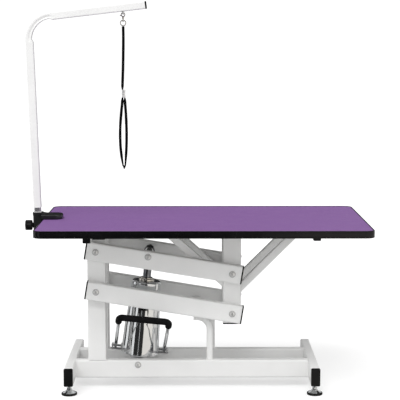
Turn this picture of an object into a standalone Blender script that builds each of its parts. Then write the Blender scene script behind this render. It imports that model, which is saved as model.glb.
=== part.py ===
"""Hydraulic pet grooming table: parallelogram lift, foot pump, clamp-on grooming arm and noose.

Metres, +Z up, the front of the table towards -Y. Every place below is worked out in the model's
own frame, which stands on the floor under the middle of the base. The empty "table_origin" then
moves the whole table so that the world's origin is under the middle of its overall size.
"""

import math

import bmesh
import bpy
from mathutils import Matrix, Vector

# ---- Driving dimensions ---------------------------------------------------------------------
GAP = 0.0003  # between pieces that touch
RUNNING = 0.0003  # radial clearance of a pin in its hole

TUBE_TALL = 0.060  # main rectangular tube
TUBE_WIDE = 0.030
TUBE_WALL = 0.002
TUBE_CORNER = 0.0045
SMALL_TUBE = 0.025  # square tube of the top frame, the braces and the grooming arm
SMALL_WALL = 0.0015
SMALL_CORNER = 0.0034

FOOT_HEIGHT = 0.0336  # floor to the underside of the base bars
BASE_SPREAD = 0.804  # between the middles of the two base bars
BASE_DEPTH = 0.403  # front to back over the end caps
RAIL_SPREAD = 0.154  # between the middles of the front and rear rails
CAP_THICK = 0.0045
CAP_SPIGOT = 0.012

FOOT_INSET = 0.030  # centre of a foot from the end of its bar
FOOT_DISC = 0.0255  # radius
FOOT_STUD = 0.004
STUD_INSIDE = 0.026  # length of the stud inside the bar

POST_X = -0.3158  # fixed posts and their two pivots
LOWER_PIVOT_RISE = 0.2369  # above the rails
PIVOT_SPACING = 0.1329
POST_ABOVE = 0.0366  # fixed post above its upper pivot
ARM_LENGTH = 0.454  # pivot to pivot
ARM_SLOPE = math.radians(9.29)  # down to the right, in the lowest position
ARM_END = 0.030  # tube beyond each pivot
ARM_CLEARANCE = 0.0008  # arm to post
POST_DROP = 0.037  # moving post below its lower pivot
FRAME_RISE = 0.1212  # underside of the top frame above the upper moving pivot

PIN_RADIUS = 0.006
WASHER_RADIUS = 0.011
WASHER_THICK = 0.0015
HEAD_RADIUS = 0.0083
HEAD_TALL = 0.0055

BRACE_SLOPE_RIGHT = math.radians(45)
BRACE_SLOPE_LEFT = math.radians(42)
BRACE_DROP_RIGHT = 0.049  # foot of the brace's middle line below the upper moving pivot
BRACE_DROP_LEFT = 0.033

BOARD_X = 0.0380  # middle of the tabletop
BOARD_LENGTH = 1.072
BOARD_WIDTH = 0.610
BOARD_THICK = 0.020
BOARD_CORNER = 0.030
TRIM_WIDE = 0.004
TRIM_LIP = 0.0015  # edge trim above the mat
MAT_THICK = 0.002
CROSS_X = 0.0341  # middle of the top frame
CROSS_SPREAD = 0.7366  # between the middles of the two cross tubes
CROSS_LENGTH_LEFT = 0.470
CROSS_LENGTH_RIGHT = 0.376

STOP_X = 0.0587  # front leg of the rest stop
STOP_REAR_SHIFT = 0.010  # the rear leg stands this much further right
STOP_TUBE = 0.020
STOP_BEND = 0.042
STOP_TOE = 0.012  # straight end after the bend
STOP_TOP = 0.2480

PUMP_PIN_X = -0.1804
PUMP_PIN_DROP = 0.0155  # below the top of the rails
RAM_PIN_ALONG = 0.1722  # from the upper fixed pivot, along the upper arm
RAM_PIN_ABOVE = 0.0120  # above the middle of the upper arm
RAM_RADIUS = 0.0135
RAM_EYE_RADIUS = 0.0220
RAM_EYE_HOLE = 0.0152  # wide, because the pump's tilt follows the lift only nearly
RAM_EYE_WIDE = 0.028
RAM_BOTTOM = 0.034  # above the pump's pin, on the pump's axis, as are the heights below
COVER_WALL = 0.0015
COVER_RIM = 0.020
COVER_TOP = 0.271
BELL_RADIUS = 0.063  # at the rim
BELL_TOP_RADIUS = 0.059
BELL_TOP = 0.1185
NECK_RADIUS = 0.056
NECK_BOTTOM = 0.1325
CROWN_RADIUS = 0.0490
CYLINDER_RADIUS = 0.038
GLAND_RADIUS = 0.026
GLAND_TALL = 0.010

PEDAL_FORWARD = 0.050  # pedal pivot in front of the pump's axis
PEDAL_HEIGHT = 0.0495
PEDAL_SPREAD = 0.163  # between the side rods
PEDAL_ROD = 0.0055
PEDAL_REACH = 0.130  # grip in front of the pivot
PEDAL_RISE = 0.125  # grip above the pivot
PEDAL_SKEW = 0.008  # grip to the right of the pivot
PEDAL_BEND = 0.014
GRIP_RADIUS = 0.011
GRIP_TAIL = 0.016  # grip that runs down each side rod
PEDAL_PIN = 0.004
PEDAL_PIN_HALF = 0.01875
BRACKET_DEEP = 0.020
BRACKET_THICK = 0.003
BRACKET_INNER = 0.036  # inner end of a bracket's base, from the pump's axis
BRACKET_OUTER = 0.097
BRACKET_BASE = 0.0125  # underside of a bracket's base below the pedal's pivot
EAR_ABOVE = 0.010  # top of a bracket's ears above the pivot
PEDAL_EAR_SHIFT = 0.005  # that middle, nearer to the pump than the side rod
EAR_HALF = 0.0145  # from the middle between a bracket's two ears to the middle of each

ARM_LEAN = math.radians(1.82)  # grooming arm's upright leans out
ARM_OUT = 0.0190  # middle of the upright outside the tabletop's end, at CLAMP_TOP
CLAMP_TOP = 0.022  # top of the socket above the mat
ARM_BELOW = 0.045  # lower end of the upright below the mat
ARM_HEIGHT = 0.6625  # corner of the arm above the mat, where the two straight lines meet
ARM_RISE = math.radians(6.68)  # overhead part rises to the right
ARM_REACH = 0.3862  # length of the overhead part from that corner
ARM_BEND = 0.078  # radius of the bend's middle line
SOCKET_WALL = 0.0035
SOCKET_BOTTOM = 0.044  # below the mat
JAW_REACH = 0.065  # onto the tabletop
JAW_WIDE = 0.070
JAW_THICK = 0.014
JAW_CORNER = 0.022  # radius of its two free corners
JAW_DENT = 0.0005  # how far the jaw's pad presses the mat down
JAW_DENT_RIM = 0.0010  # of the dent, around the jaw
LOWER_JAW_DROP = 0.022  # lower jaw below the tabletop
LOWER_JAW_THICK = 0.010
LOWER_JAW_WIDE = 0.040
SPINE_THICK = 0.0065
KNOB_DROP = 0.023  # lock knob's axis below the mat
KNOB_RADIUS = 0.018
KNOB_THICK = 0.0225
KNOB_NECK = 0.0045
SCREW_RADIUS = 0.004
JAW_KNOB_RADIUS = 0.013
JAW_KNOB_TALL = 0.012

NOOSE_ALONG = 0.3132  # noose eye from the arm's corner, along the overhead part
EYE_WIRE = 0.002
EYE_HALF = 0.009
EYE_DROP = 0.0086  # bar of the eye below the arm
HOOK_LOOP = 0.0045
HOOK_WIRE = 0.0016
HOOK_LENGTH = 0.020  # between the middles of the hook's two loops
RING_LOOP = 0.009
RING_WIRE = 0.0016
STRAP_RADIUS = 0.0035
STRAP_TOP = 0.0400  # below the noose eye's bar, as are the heights of the route's points
SLIDER_TOP = 0.2480
SLIDER_TALL = 0.026
SLIDER_WIDE = 0.0170
SLIDER_DEEP = 0.0100
STRAND_HALF = 0.0037  # of the distance between the two strands where they meet

# Routes of the noose's two strands: sideways, and down from the noose eye's bar.
STRAP_ROUTE = (
    (0.0, STRAP_TOP), (0.0004, 0.080), (-0.0004, 0.130), (-0.0016, 0.180), (-STRAND_HALF, 0.236),
    (-STRAND_HALF, 0.262), (-0.0050, 0.290), (-0.0086, 0.325), (-0.0118, 0.365),
    (-0.0128, 0.400), (-0.0118, 0.436), (-0.0084, 0.470), (-0.0048, 0.494), (-STRAND_HALF, 0.502),
)
RETURN_ROUTE = (
    (STRAND_HALF, SLIDER_TOP + SLIDER_TALL + GAP), (0.0045, 0.292), (0.0068, 0.325),
    (0.0084, 0.365), (0.0088, 0.400), (0.0080, 0.436), (0.0060, 0.470), (0.0042, 0.494),
    (STRAND_HALF, 0.502),
)

# ---- Places worked out from the dimensions ---------------------------------------------------
BAR_TOP = FOOT_HEIGHT + TUBE_TALL
RAIL_Y = RAIL_SPREAD / 2
ARM_Y = RAIL_Y + TUBE_WIDE + ARM_CLEARANCE
BAR_X = BASE_SPREAD / 2
BAR_LENGTH = BASE_DEPTH - 2 * (CAP_THICK + GAP)
X_AXIS, Y_AXIS, Z_AXIS = Vector((1, 0, 0)), Vector((0, 1, 0)), Vector((0, 0, 1))

ARM_ALONG = Vector((math.cos(ARM_SLOPE), 0, -math.sin(ARM_SLOPE)))
ARM_UP = Vector((math.sin(ARM_SLOPE), 0, math.cos(ARM_SLOPE)))
LOWER_FIXED = Vector((POST_X, 0, BAR_TOP + LOWER_PIVOT_RISE))
UPPER_FIXED = LOWER_FIXED + Z_AXIS * PIVOT_SPACING
LOWER_MOVING = LOWER_FIXED + ARM_ALONG * ARM_LENGTH
UPPER_MOVING = UPPER_FIXED + ARM_ALONG * ARM_LENGTH

FRAME_BOTTOM = UPPER_MOVING.z + FRAME_RISE
FRAME_TOP = FRAME_BOTTOM + SMALL_TUBE
BOARD_BOTTOM = FRAME_TOP + GAP
MAT_TOP = BOARD_BOTTOM + BOARD_THICK + GAP + MAT_THICK
BOARD_LEFT = BOARD_X - BOARD_LENGTH / 2
BOARD_RIGHT = BOARD_X + BOARD_LENGTH / 2
MAT_LEFT = BOARD_LEFT + TRIM_WIDE + GAP
JAW_LEFT = BOARD_LEFT - GAP - SPINE_THICK
JAW_RIGHT = BOARD_LEFT + JAW_REACH

PUMP_PIN = Vector((PUMP_PIN_X, 0, BAR_TOP - PUMP_PIN_DROP))
RAM_PIN = UPPER_FIXED + ARM_ALONG * RAM_PIN_ALONG + ARM_UP * RAM_PIN_ABOVE
PIN_TO_PIN = (RAM_PIN - PUMP_PIN).length
PUMP_TILT = math.atan2(RAM_PIN.x - PUMP_PIN.x, RAM_PIN.z - PUMP_PIN.z)

ARM_AXIS = Vector((-math.sin(ARM_LEAN), 0, math.cos(ARM_LEAN)))
SOCKET_AT = Vector((BOARD_LEFT - ARM_OUT, 0, MAT_TOP + CLAMP_TOP))


def on_upright(height):
    """The point of the grooming arm's upright at this height above the mat."""
    return SOCKET_AT + ARM_AXIS * ((height - CLAMP_TOP) / math.cos(ARM_LEAN))


ARM_CORNER = on_upright(ARM_HEIGHT)
OVERHEAD = Vector((math.cos(ARM_RISE), 0, math.sin(ARM_RISE)))
ARM_TIP = ARM_CORNER + OVERHEAD * ARM_REACH
NOOSE_BAR = (
    ARM_CORNER + OVERHEAD * NOOSE_ALONG
    - Z_AXIS * (SMALL_TUBE / 2 / math.cos(ARM_RISE) + EYE_DROP)
)
SOCKET_HALF = SMALL_TUBE / 2 + GAP + SOCKET_WALL
KNOB_AT = on_upright(-KNOB_DROP)
KNOB_FACE = KNOB_AT.x - SOCKET_HALF / math.cos(ARM_LEAN) - GAP
KNOB_LEFT = KNOB_FACE - KNOB_NECK - KNOB_THICK
MIDDLE = (KNOB_LEFT + BOARD_RIGHT) / 2

# ---- Scene and helpers -------------------------------------------------------------------------
for old in list(bpy.data.objects):
    bpy.data.objects.remove(old, do_unlink=True)

PARTS = bpy.data.collections.new("grooming_table")
CUTTERS = bpy.data.collections.new("cutters")
for group in (PARTS, CUTTERS):
    bpy.context.scene.collection.children.link(group)


def material(name, colour, roughness, metallic):
    """A plain finish: a Principled BSDF with the part's colour, roughness and metallic value."""
    made = bpy.data.materials.new(name)
    made.use_nodes = True
    shader = made.node_tree.nodes["Principled BSDF"]
    shader.inputs["Base Color"].default_value = (*colour, 1)
    shader.inputs["Roughness"].default_value = roughness
    shader.inputs["Metallic"].default_value = metallic
    made.diffuse_color = (*colour, 1)
    return made


WHITE_STEEL = material("white_powder_coat", (0.84, 0.84, 0.84), 0.35, 0.0)
BLACK_PLASTIC = material("black_plastic", (0.012, 0.012, 0.012), 0.45, 0.0)
BLACK_STEEL = material("black_coated_steel", (0.015, 0.015, 0.015), 0.4, 0.0)
CHROME = material("chrome", (0.78, 0.78, 0.80), 0.08, 1.0)
ZINC = material("zinc_plated_steel", (0.62, 0.62, 0.64), 0.3, 1.0)
WOOD = material("board_wood", (0.45, 0.32, 0.20), 0.7, 0.0)
PURPLE_MAT = material("purple_mat", (0.23, 0.10, 0.33), 0.65, 0.0)
FOAM = material("black_foam", (0.01, 0.01, 0.01), 0.9, 0.0)
NYLON = material("black_nylon", (0.01, 0.01, 0.012), 0.8, 0.0)


def axes(origin, along, up):
    """A matrix whose local Z runs along, and whose local Y points up."""
    z_axis = along.normalized()
    x_axis = up.cross(z_axis).normalized()
    y_axis = z_axis.cross(x_axis)
    turned_axes = Matrix((x_axis, y_axis, z_axis)).transposed().to_4x4()
    return Matrix.Translation(origin) @ turned_axes


class Body:
    """A group of pieces that move together, under one empty on their joint's axis."""

    def __init__(self, name, matrix, parent=None):
        self.matrix = matrix
        self.empty = bpy.data.objects.new(name, None)
        self.empty.empty_display_size = 0.03
        PARTS.objects.link(self.empty)
        if parent:
            self.empty.parent = parent.empty
            self.empty.matrix_basis = parent.matrix.inverted() @ matrix
        else:
            self.empty.matrix_basis = Matrix.Translation((-MIDDLE, 0, 0)) @ matrix

    def add(self, name, data, finish, matrix, smooth=True):
        """A piece of this body, placed in the model's frame."""
        made = bpy.data.objects.new(name, data)
        data.materials.append(finish)
        PARTS.objects.link(made)
        made.parent = self.empty
        made.matrix_basis = self.matrix.inverted() @ matrix
        if smooth:
            data.shade_smooth()
            data.set_sharp_from_angle(angle=math.radians(35))
        return made

    def helper(self, name, data, matrix):
        """A cutter or a shape to join, placed in the model's frame and left out of the render."""
        made = bpy.data.objects.new(name, data)
        CUTTERS.objects.link(made)
        made.parent = self.empty
        made.matrix_basis = self.matrix.inverted() @ matrix
        made.hide_render = True
        made.display_type = "WIRE"
        return made


def combine(target, helper, operation):
    """Cut the helper from the target, join it on, or keep what they share."""
    step = target.modifiers.new(helper.name, "BOOLEAN")
    step.operation = operation
    step.solver = "EXACT"
    step.object = helper


def rounded_rectangle(wide, tall, radius, steps=2):
    """Points of a rectangle about the origin with round corners, anticlockwise."""
    points = []
    for quarter, (sign_x, sign_y) in enumerate(((1, 1), (-1, 1), (-1, -1), (1, -1))):
        centre = Vector((sign_x * (wide / 2 - radius), sign_y * (tall / 2 - radius)))
        for step in range(steps + 1):
            angle = math.pi / 2 * (quarter + step / steps)
            points.append(centre + radius * Vector((math.cos(angle), math.sin(angle))))
    return points


def evaluated_mesh(curve):
    """The mesh that a curve makes, with its caps welded on and its faces pointing out."""
    guide = bpy.data.objects.new(curve.name, curve)
    bpy.context.scene.collection.objects.link(guide)
    graph = bpy.context.evaluated_depsgraph_get()
    mesh = bpy.data.meshes.new_from_object(guide.evaluated_get(graph))
    bpy.data.objects.remove(guide)
    bpy.data.curves.remove(curve)
    shape = bmesh.new()
    shape.from_mesh(mesh)
    bmesh.ops.remove_doubles(shape, verts=shape.verts, dist=1e-6)
    bmesh.ops.recalc_face_normals(shape, faces=shape.faces)
    shape.to_mesh(mesh)
    shape.free()
    return mesh


def prism(outlines, depth):
    """A flat outline, with holes if more than one is given, extruded along Z about its middle."""
    curve = bpy.data.curves.new("outline", "CURVE")
    curve.dimensions = "2D"
    curve.fill_mode = "BOTH"
    curve.extrude = depth / 2
    for outline in outlines:
        spline = curve.splines.new("POLY")
        spline.points.add(len(outline) - 1)
        for point, place in zip(spline.points, outline):
            point.co = (place[0], place[1], 0, 1)
        spline.use_cyclic_u = True
    return evaluated_mesh(curve)


def tube_mesh(wide, tall, length, wall, corner):
    """A rectangular tube along Z, open at both ends: wide in X and tall in Y."""
    inner = rounded_rectangle(wide - 2 * wall, tall - 2 * wall, corner - wall)
    return prism((rounded_rectangle(wide, tall, corner), inner), length)


def box_mesh(size_x, size_y, size_z):
    """A box about the origin."""
    shape = bmesh.new()
    bmesh.ops.create_cube(shape, size=1)
    bmesh.ops.scale(shape, verts=shape.verts, vec=(size_x, size_y, size_z))
    return finished(shape)


def cylinder_mesh(radius, length, steps=16):
    """A cylinder along Z about the origin."""
    shape = bmesh.new()
    bmesh.ops.create_cone(
        shape, cap_ends=True, segments=steps, radius1=radius, radius2=radius, depth=length
    )
    return finished(shape)


def finished(shape):
    """The mesh of a bmesh, which is freed."""
    mesh = bpy.data.meshes.new("shape")
    shape.to_mesh(mesh)
    shape.free()
    return mesh


def profile_mesh(profile, closed=False):
    """The edges of a turned shape, as points of radius and height."""
    mesh = bpy.data.meshes.new("profile")
    count = len(profile)
    edges = [(i, (i + 1) % count) for i in range(count if closed else count - 1)]
    mesh.from_pydata([(radius, 0, height) for radius, height in profile], edges, [])
    return mesh


def turn(target, steps):
    """Turn a profile about its local Z."""
    screw = target.modifiers.new("turned", "SCREW")
    screw.steps = steps
    screw.render_steps = steps
    screw.use_merge_vertices = True
    screw.merge_threshold = 1e-5
    screw.use_smooth_shade = True


def arc_points(centre, radius, start, end, steps):
    """Points of radius and height along an arc, with angles in degrees."""
    angles = [math.radians(start + (end - start) * i / steps) for i in range(steps + 1)]
    return [
        (centre[0] + radius * math.cos(angle), centre[1] + radius * math.sin(angle))
        for angle in angles
    ]


def filleted(corners, radius, steps=8):
    """A route through these corners, with each inner corner rounded to this radius."""
    route = [corners[0]]
    for before, corner, after in zip(corners, corners[1:], corners[2:]):
        into = (corner - before).normalized()
        out = (after - corner).normalized()
        angle = into.angle(out)
        inset = radius * math.tan(angle / 2)
        centre = corner + (out - into).normalized() * radius / math.cos(angle / 2)
        start = corner - into * inset - centre
        side = into.cross(out).normalized()
        for step in range(steps + 1):
            spin = Matrix.Rotation(angle * step / steps, 3, side)
            route.append(centre + spin @ start)
    route.append(corners[-1])
    return route


def swept_mesh(route, radius=0.0, section=None, resolution=2, caps=True):
    """A round bar, or a bar of the given closed section, along a route of points."""
    curve = bpy.data.curves.new("route", "CURVE")
    curve.dimensions = "3D"
    curve.use_fill_caps = caps
    curve.twist_mode = "MINIMUM"
    spline = curve.splines.new("POLY")
    spline.points.add(len(route) - 1)
    for point, place in zip(spline.points, route):
        point.co = (*place, 1)
    if section is None:
        curve.bevel_depth = radius
        curve.bevel_resolution = resolution
        return evaluated_mesh(curve)
    shape = bpy.data.curves.new("section", "CURVE")
    edge = shape.splines.new("POLY")
    edge.points.add(len(section) - 1)
    for point, place in zip(edge.points, section):
        point.co = (place[0], place[1], 0, 1)
    edge.use_cyclic_u = True
    guide = bpy.data.objects.new("section", shape)
    bpy.context.scene.collection.objects.link(guide)
    curve.bevel_mode = "OBJECT"
    curve.bevel_object = guide
    mesh = evaluated_mesh(curve)
    bpy.data.objects.remove(guide)
    bpy.data.curves.remove(shape)
    return mesh


def torus_mesh(loop, wire, around=16, across=6):
    """A ring about Z, from a circle of the wire's size turned about the ring's axis."""
    bpy.ops.mesh.primitive_torus_add(
        major_radius=loop, minor_radius=wire, major_segments=around, minor_segments=across
    )
    ring = bpy.context.active_object
    mesh = ring.data
    bpy.data.objects.remove(ring)
    return mesh


def drill(body, target, at, radius, along, reach):
    """A round hole through the target, centred on a point of the model's frame."""
    side = X_AXIS if abs(along.z) > 0.5 else Z_AXIS
    cutter = body.helper("hole", cylinder_mesh(radius, reach), axes(at, along, side))
    combine(target, cutter, "DIFFERENCE")


def bevelled(target, width, segments=1):
    """Round the target's edges."""
    bevel = target.modifiers.new("edges", "BEVEL")
    bevel.width = width
    bevel.segments = segments
    bevel.limit_method = "ANGLE"
    bevel.angle_limit = math.radians(40)


def end_cap(body, name, at, outward, up, wide, tall, wall, corner):
    """A plastic cap on the end of a tube: a flange over its end and a spigot inside it."""
    flange = prism((rounded_rectangle(wide, tall, corner),), CAP_THICK)
    middle = at + outward * (GAP + CAP_THICK / 2)
    cap = body.add(name, flange, BLACK_PLASTIC, axes(middle, outward, up))
    bevelled(cap, 0.0012)
    inside = 2 * (wall + GAP)
    spigot = prism((rounded_rectangle(wide - inside, tall - inside, corner - wall),), CAP_SPIGOT)
    spigot_at = at - outward * (CAP_SPIGOT / 2 - CAP_THICK / 2 - GAP)
    combine(cap, body.helper(name + "_spigot", spigot, axes(spigot_at, outward, up)), "UNION")
    return cap


def pivot_pin(body, name, at, half_length):
    """A bolt across the table with a washer and a round head on both ends."""
    washer = half_length + WASHER_THICK
    dome = [
        (HEAD_RADIUS * math.cos(angle), washer + HEAD_TALL * math.sin(angle))
        for angle in (math.radians(degrees) for degrees in (90, 62, 36, 0))
    ]
    dome[0] = (0, washer + HEAD_TALL)
    upper = dome + [(WASHER_RADIUS, washer), (WASHER_RADIUS, half_length), (PIN_RADIUS, half_length)]
    lower = [(radius, -height) for radius, height in reversed(upper)]
    pin = body.add(name, profile_mesh(upper + lower), CHROME, axes(at, Y_AXIS, Z_AXIS), False)
    turn(pin, 16)
    return pin


# ---- Base ---------------------------------------------------------------------------------------
def build_base():
    """Two bars on four feet, two rails, two fixed posts, the rest stop and three fixed pins."""
    base = Body("table_origin", Matrix())
    section = (TUBE_WIDE, TUBE_TALL)
    bar_z = FOOT_HEIGHT + TUBE_TALL / 2
    for side, sign in (("left", -1), ("right", 1)):
        bar = base.add(
            f"base_bar_{side}",
            tube_mesh(*section, BAR_LENGTH, TUBE_WALL, TUBE_CORNER),
            WHITE_STEEL,
            axes(Vector((sign * BAR_X, 0, bar_z)), Y_AXIS, Z_AXIS),
        )
        for end, toward in (("front", -1), ("rear", 1)):
            end_at = Vector((sign * BAR_X, toward * BAR_LENGTH / 2, bar_z))
            end_cap(
                base, f"base_cap_{side}_{end}", end_at, Y_AXIS * toward, Z_AXIS,
                *section, TUBE_WALL, TUBE_CORNER,
            )
            foot_at = foot_place(sign, toward)
            hole_at = foot_at + Z_AXIS * (FOOT_HEIGHT + TUBE_WALL / 2)
            drill(base, bar, hole_at, FOOT_STUD + RUNNING, Z_AXIS, 0.020)

    rail_length = BASE_SPREAD - TUBE_WIDE - 2 * GAP
    post_bottom = BAR_TOP + GAP
    post_length = UPPER_FIXED.z + POST_ABOVE - post_bottom
    for end, toward in (("front", -1), ("rear", 1)):
        rail = base.add(
            f"base_rail_{end}",
            tube_mesh(*section, rail_length, TUBE_WALL, TUBE_CORNER),
            WHITE_STEEL,
            axes(Vector((0, toward * RAIL_Y, bar_z)), X_AXIS, Z_AXIS),
        )
        drill_across(base, rail, PUMP_PIN, toward * RAIL_Y)
        post = base.add(
            f"fixed_post_{end}",
            tube_mesh(*section, post_length, TUBE_WALL, TUBE_CORNER),
            WHITE_STEEL,
            axes(Vector((POST_X, toward * RAIL_Y, post_bottom + post_length / 2)), Z_AXIS, X_AXIS),
        )
        for pivot in (LOWER_FIXED, UPPER_FIXED):
            drill_across(base, post, pivot, toward * RAIL_Y)

    arm_face = ARM_Y + TUBE_WIDE / 2 + GAP
    pivot_pin(base, "pivot_pin_lower_fixed", LOWER_FIXED, arm_face)
    pivot_pin(base, "pivot_pin_upper_fixed", UPPER_FIXED, arm_face)
    pivot_pin(base, "pump_base_pin", PUMP_PIN, RAIL_Y + TUBE_WIDE / 2 + GAP)
    build_rest_stop(base)
    return base


def drill_across(body, target, at, y_place):
    """A pin hole from front to back through a tube whose middle is at this depth."""
    middle = Vector((at.x, y_place, at.z))
    drill(body, target, middle, PIN_RADIUS + RUNNING, Y_AXIS, TUBE_WIDE + 0.004)


def foot_place(sign, toward):
    """The point on the floor under a levelling foot."""
    return Vector((sign * BAR_X, toward * (BASE_DEPTH / 2 - FOOT_INSET), 0))


def build_rest_stop(base):
    """Two legs on the rails, bent inwards at the top and joined by the bar that the lift rests on."""
    section = rounded_rectangle(STOP_TUBE, STOP_TUBE, SMALL_CORNER, 1)
    bar_z = STOP_TOP - STOP_TUBE / 2
    legs = []
    for toward in (-1, 1):
        foot_x = STOP_X + (STOP_REAR_SHIFT if toward > 0 else 0)
        foot = Vector((foot_x, toward * RAIL_Y, BAR_TOP + GAP))
        top = Vector((foot_x, toward * RAIL_Y, bar_z))
        toe = top - X_AXIS * (STOP_BEND + STOP_TOE + foot_x - STOP_X)
        legs.append(swept_mesh(filleted((foot, top, toe), STOP_BEND, 6), section=section))
    stop = base.add("rest_stop", legs[0], WHITE_STEEL, Matrix())
    combine(stop, base.helper("stop_rear_leg", legs[1], Matrix()), "UNION")
    bar = prism((section,), RAIL_SPREAD)
    bar_x = STOP_X - STOP_BEND - STOP_TOE + STOP_TUBE / 2
    bar_at = axes(Vector((bar_x, 0, bar_z)), Y_AXIS, Z_AXIS)
    combine(stop, base.helper("stop_bar", bar, bar_at), "UNION")


def build_feet(base):
    """A levelling foot under each end of both bars: a steel disc with its nut and stud."""
    for side, sign in (("left", -1), ("right", 1)):
        for end, toward in (("front", -1), ("rear", 1)):
            matrix = Matrix.Translation(foot_place(sign, toward))
            body = Body(f"foot_origin_{side}_{end}", matrix, base)
            profile = [
                (0, FOOT_HEIGHT + STUD_INSIDE),
                (FOOT_STUD, FOOT_HEIGHT + STUD_INSIDE),
                (FOOT_STUD, 0.0210),
                (0.0075, 0.0200),
                (0.0075, 0.0140),
                (0.0095, 0.0125),
                (0.0180, 0.0090),
                (FOOT_DISC - 0.0015, 0.0050),
                (FOOT_DISC, 0.0030),
                (FOOT_DISC, 0),
                (0, 0),
            ]
            foot = body.add(f"levelling_foot_{side}_{end}", profile_mesh(profile), ZINC, matrix, False)
            turn(foot, 20)


# ---- Lift arms ----------------------------------------------------------------------------------
def build_arms(base, level, fixed, moving):
    """The front and rear arms of one level, with the pin at their moving end."""
    body = Body(f"{level}_arms_origin", Matrix.Translation(fixed), base)
    middle = (fixed + moving) / 2
    for end, toward in (("front", -1), ("rear", 1)):
        shift = Y_AXIS * toward * ARM_Y
        arm = body.add(
            f"{level}_arm_{end}",
            tube_mesh(TUBE_WIDE, TUBE_TALL, ARM_LENGTH + 2 * ARM_END, TUBE_WALL, TUBE_CORNER),
            WHITE_STEEL,
            axes(middle + shift, ARM_ALONG, ARM_UP),
        )
        pins = (fixed, moving) if level == "lower" else (fixed, moving, RAM_PIN)
        for at in pins:
            drill_across(body, arm, at, toward * ARM_Y)
    for side, pivot, outward in (("left", fixed, -ARM_ALONG), ("right", moving, ARM_ALONG)):
        end_cap(
            body, f"{level}_arm_cap_{side}", pivot + outward * ARM_END - Y_AXIS * ARM_Y,
            outward, ARM_UP, TUBE_WIDE, TUBE_TALL, TUBE_WALL, TUBE_CORNER,
        )
    pivot_pin(body, f"pivot_pin_{level}_moving", moving, ARM_Y + TUBE_WIDE / 2 + GAP)
    if level == "upper":
        pivot_pin(body, "ram_pin", RAM_PIN, ARM_Y + TUBE_WIDE / 2 + GAP)
    return body


def build_lower_tie(body):
    """A square tube between the lower arms, which comes down on the rest stop."""
    length = 2 * (ARM_Y - TUBE_WIDE / 2 - GAP)
    tie_x = STOP_X - STOP_BEND - STOP_TOE + STOP_TUBE / 2
    at = Vector((tie_x, 0, STOP_TOP + GAP + SMALL_TUBE / 2))
    tube = tube_mesh(SMALL_TUBE, SMALL_TUBE, length, SMALL_WALL, SMALL_CORNER)
    body.add("lower_arm_tie", tube, WHITE_STEEL, axes(at, Y_AXIS, Z_AXIS))


# ---- Carriage and tabletop ----------------------------------------------------------------------
def build_carriage(lower_arms):
    """The moving posts with their braces, the top frame, and the tabletop with trim and mat."""
    body = Body("carriage_origin", Matrix.Translation(LOWER_MOVING), lower_arms)
    post_low = LOWER_MOVING.z - POST_DROP
    post_length = FRAME_BOTTOM - GAP - post_low
    cross_inner = CROSS_SPREAD / 2 - SMALL_TUBE / 2 - GAP
    frame_z = FRAME_BOTTOM + SMALL_TUBE / 2
    for end, toward in (("front", -1), ("rear", 1)):
        depth = Y_AXIS * toward * RAIL_Y
        post = body.add(
            f"moving_post_{end}",
            tube_mesh(TUBE_WIDE, TUBE_TALL, post_length, TUBE_WALL, TUBE_CORNER),
            WHITE_STEEL,
            axes(Vector((LOWER_MOVING.x, 0, post_low + post_length / 2)) + depth, Z_AXIS, X_AXIS),
        )
        for pivot in (LOWER_MOVING, UPPER_MOVING):
            drill_across(body, post, pivot, toward * RAIL_Y)
        body.add(
            f"top_rail_{end}",
            tube_mesh(SMALL_TUBE, SMALL_TUBE, 2 * cross_inner, SMALL_WALL, SMALL_CORNER),
            WHITE_STEEL,
            axes(Vector((CROSS_X, 0, frame_z)) + depth, X_AXIS, Z_AXIS),
        )
        build_brace(body, f"brace_left_{end}", -1, depth, BRACE_SLOPE_LEFT, BRACE_DROP_LEFT)
        build_brace(body, f"brace_right_{end}", 1, depth, BRACE_SLOPE_RIGHT, BRACE_DROP_RIGHT)
    for side, sign, length in (("left", -1, CROSS_LENGTH_LEFT), ("right", 1, CROSS_LENGTH_RIGHT)):
        body.add(
            f"cross_tube_{side}",
            tube_mesh(SMALL_TUBE, SMALL_TUBE, length, SMALL_WALL, SMALL_CORNER),
            WHITE_STEEL,
            axes(Vector((CROSS_X + sign * CROSS_SPREAD / 2, 0, frame_z)), Y_AXIS, Z_AXIS),
        )
    build_tabletop(body)
    return body


def build_brace(body, name, sign, depth, slope, drop):
    """A slanting tube from the side of a moving post up to the top rail, trimmed to both."""
    along = Vector((sign * math.cos(slope), 0, math.sin(slope)))
    face_x = LOWER_MOVING.x + sign * TUBE_TALL / 2
    foot = Vector((face_x, 0, UPPER_MOVING.z - drop)) + depth
    spare = SMALL_TUBE * 2
    length = (FRAME_BOTTOM - foot.z) / math.sin(slope) + 2 * spare
    brace = body.add(
        name,
        tube_mesh(SMALL_TUBE, SMALL_TUBE, length, SMALL_WALL, SMALL_CORNER),
        WHITE_STEEL,
        axes(foot + along * (length / 2 - spare), along, Y_AXIS.cross(along)),
    )
    room = 1.0
    centre = Vector((face_x + sign * (room / 2 + GAP), 0, FRAME_BOTTOM - GAP - room / 2)) + depth
    trimmer = body.helper(name + "_trim", box_mesh(room, 0.1, room), Matrix.Translation(centre))
    combine(brace, trimmer, "INTERSECT")


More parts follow.
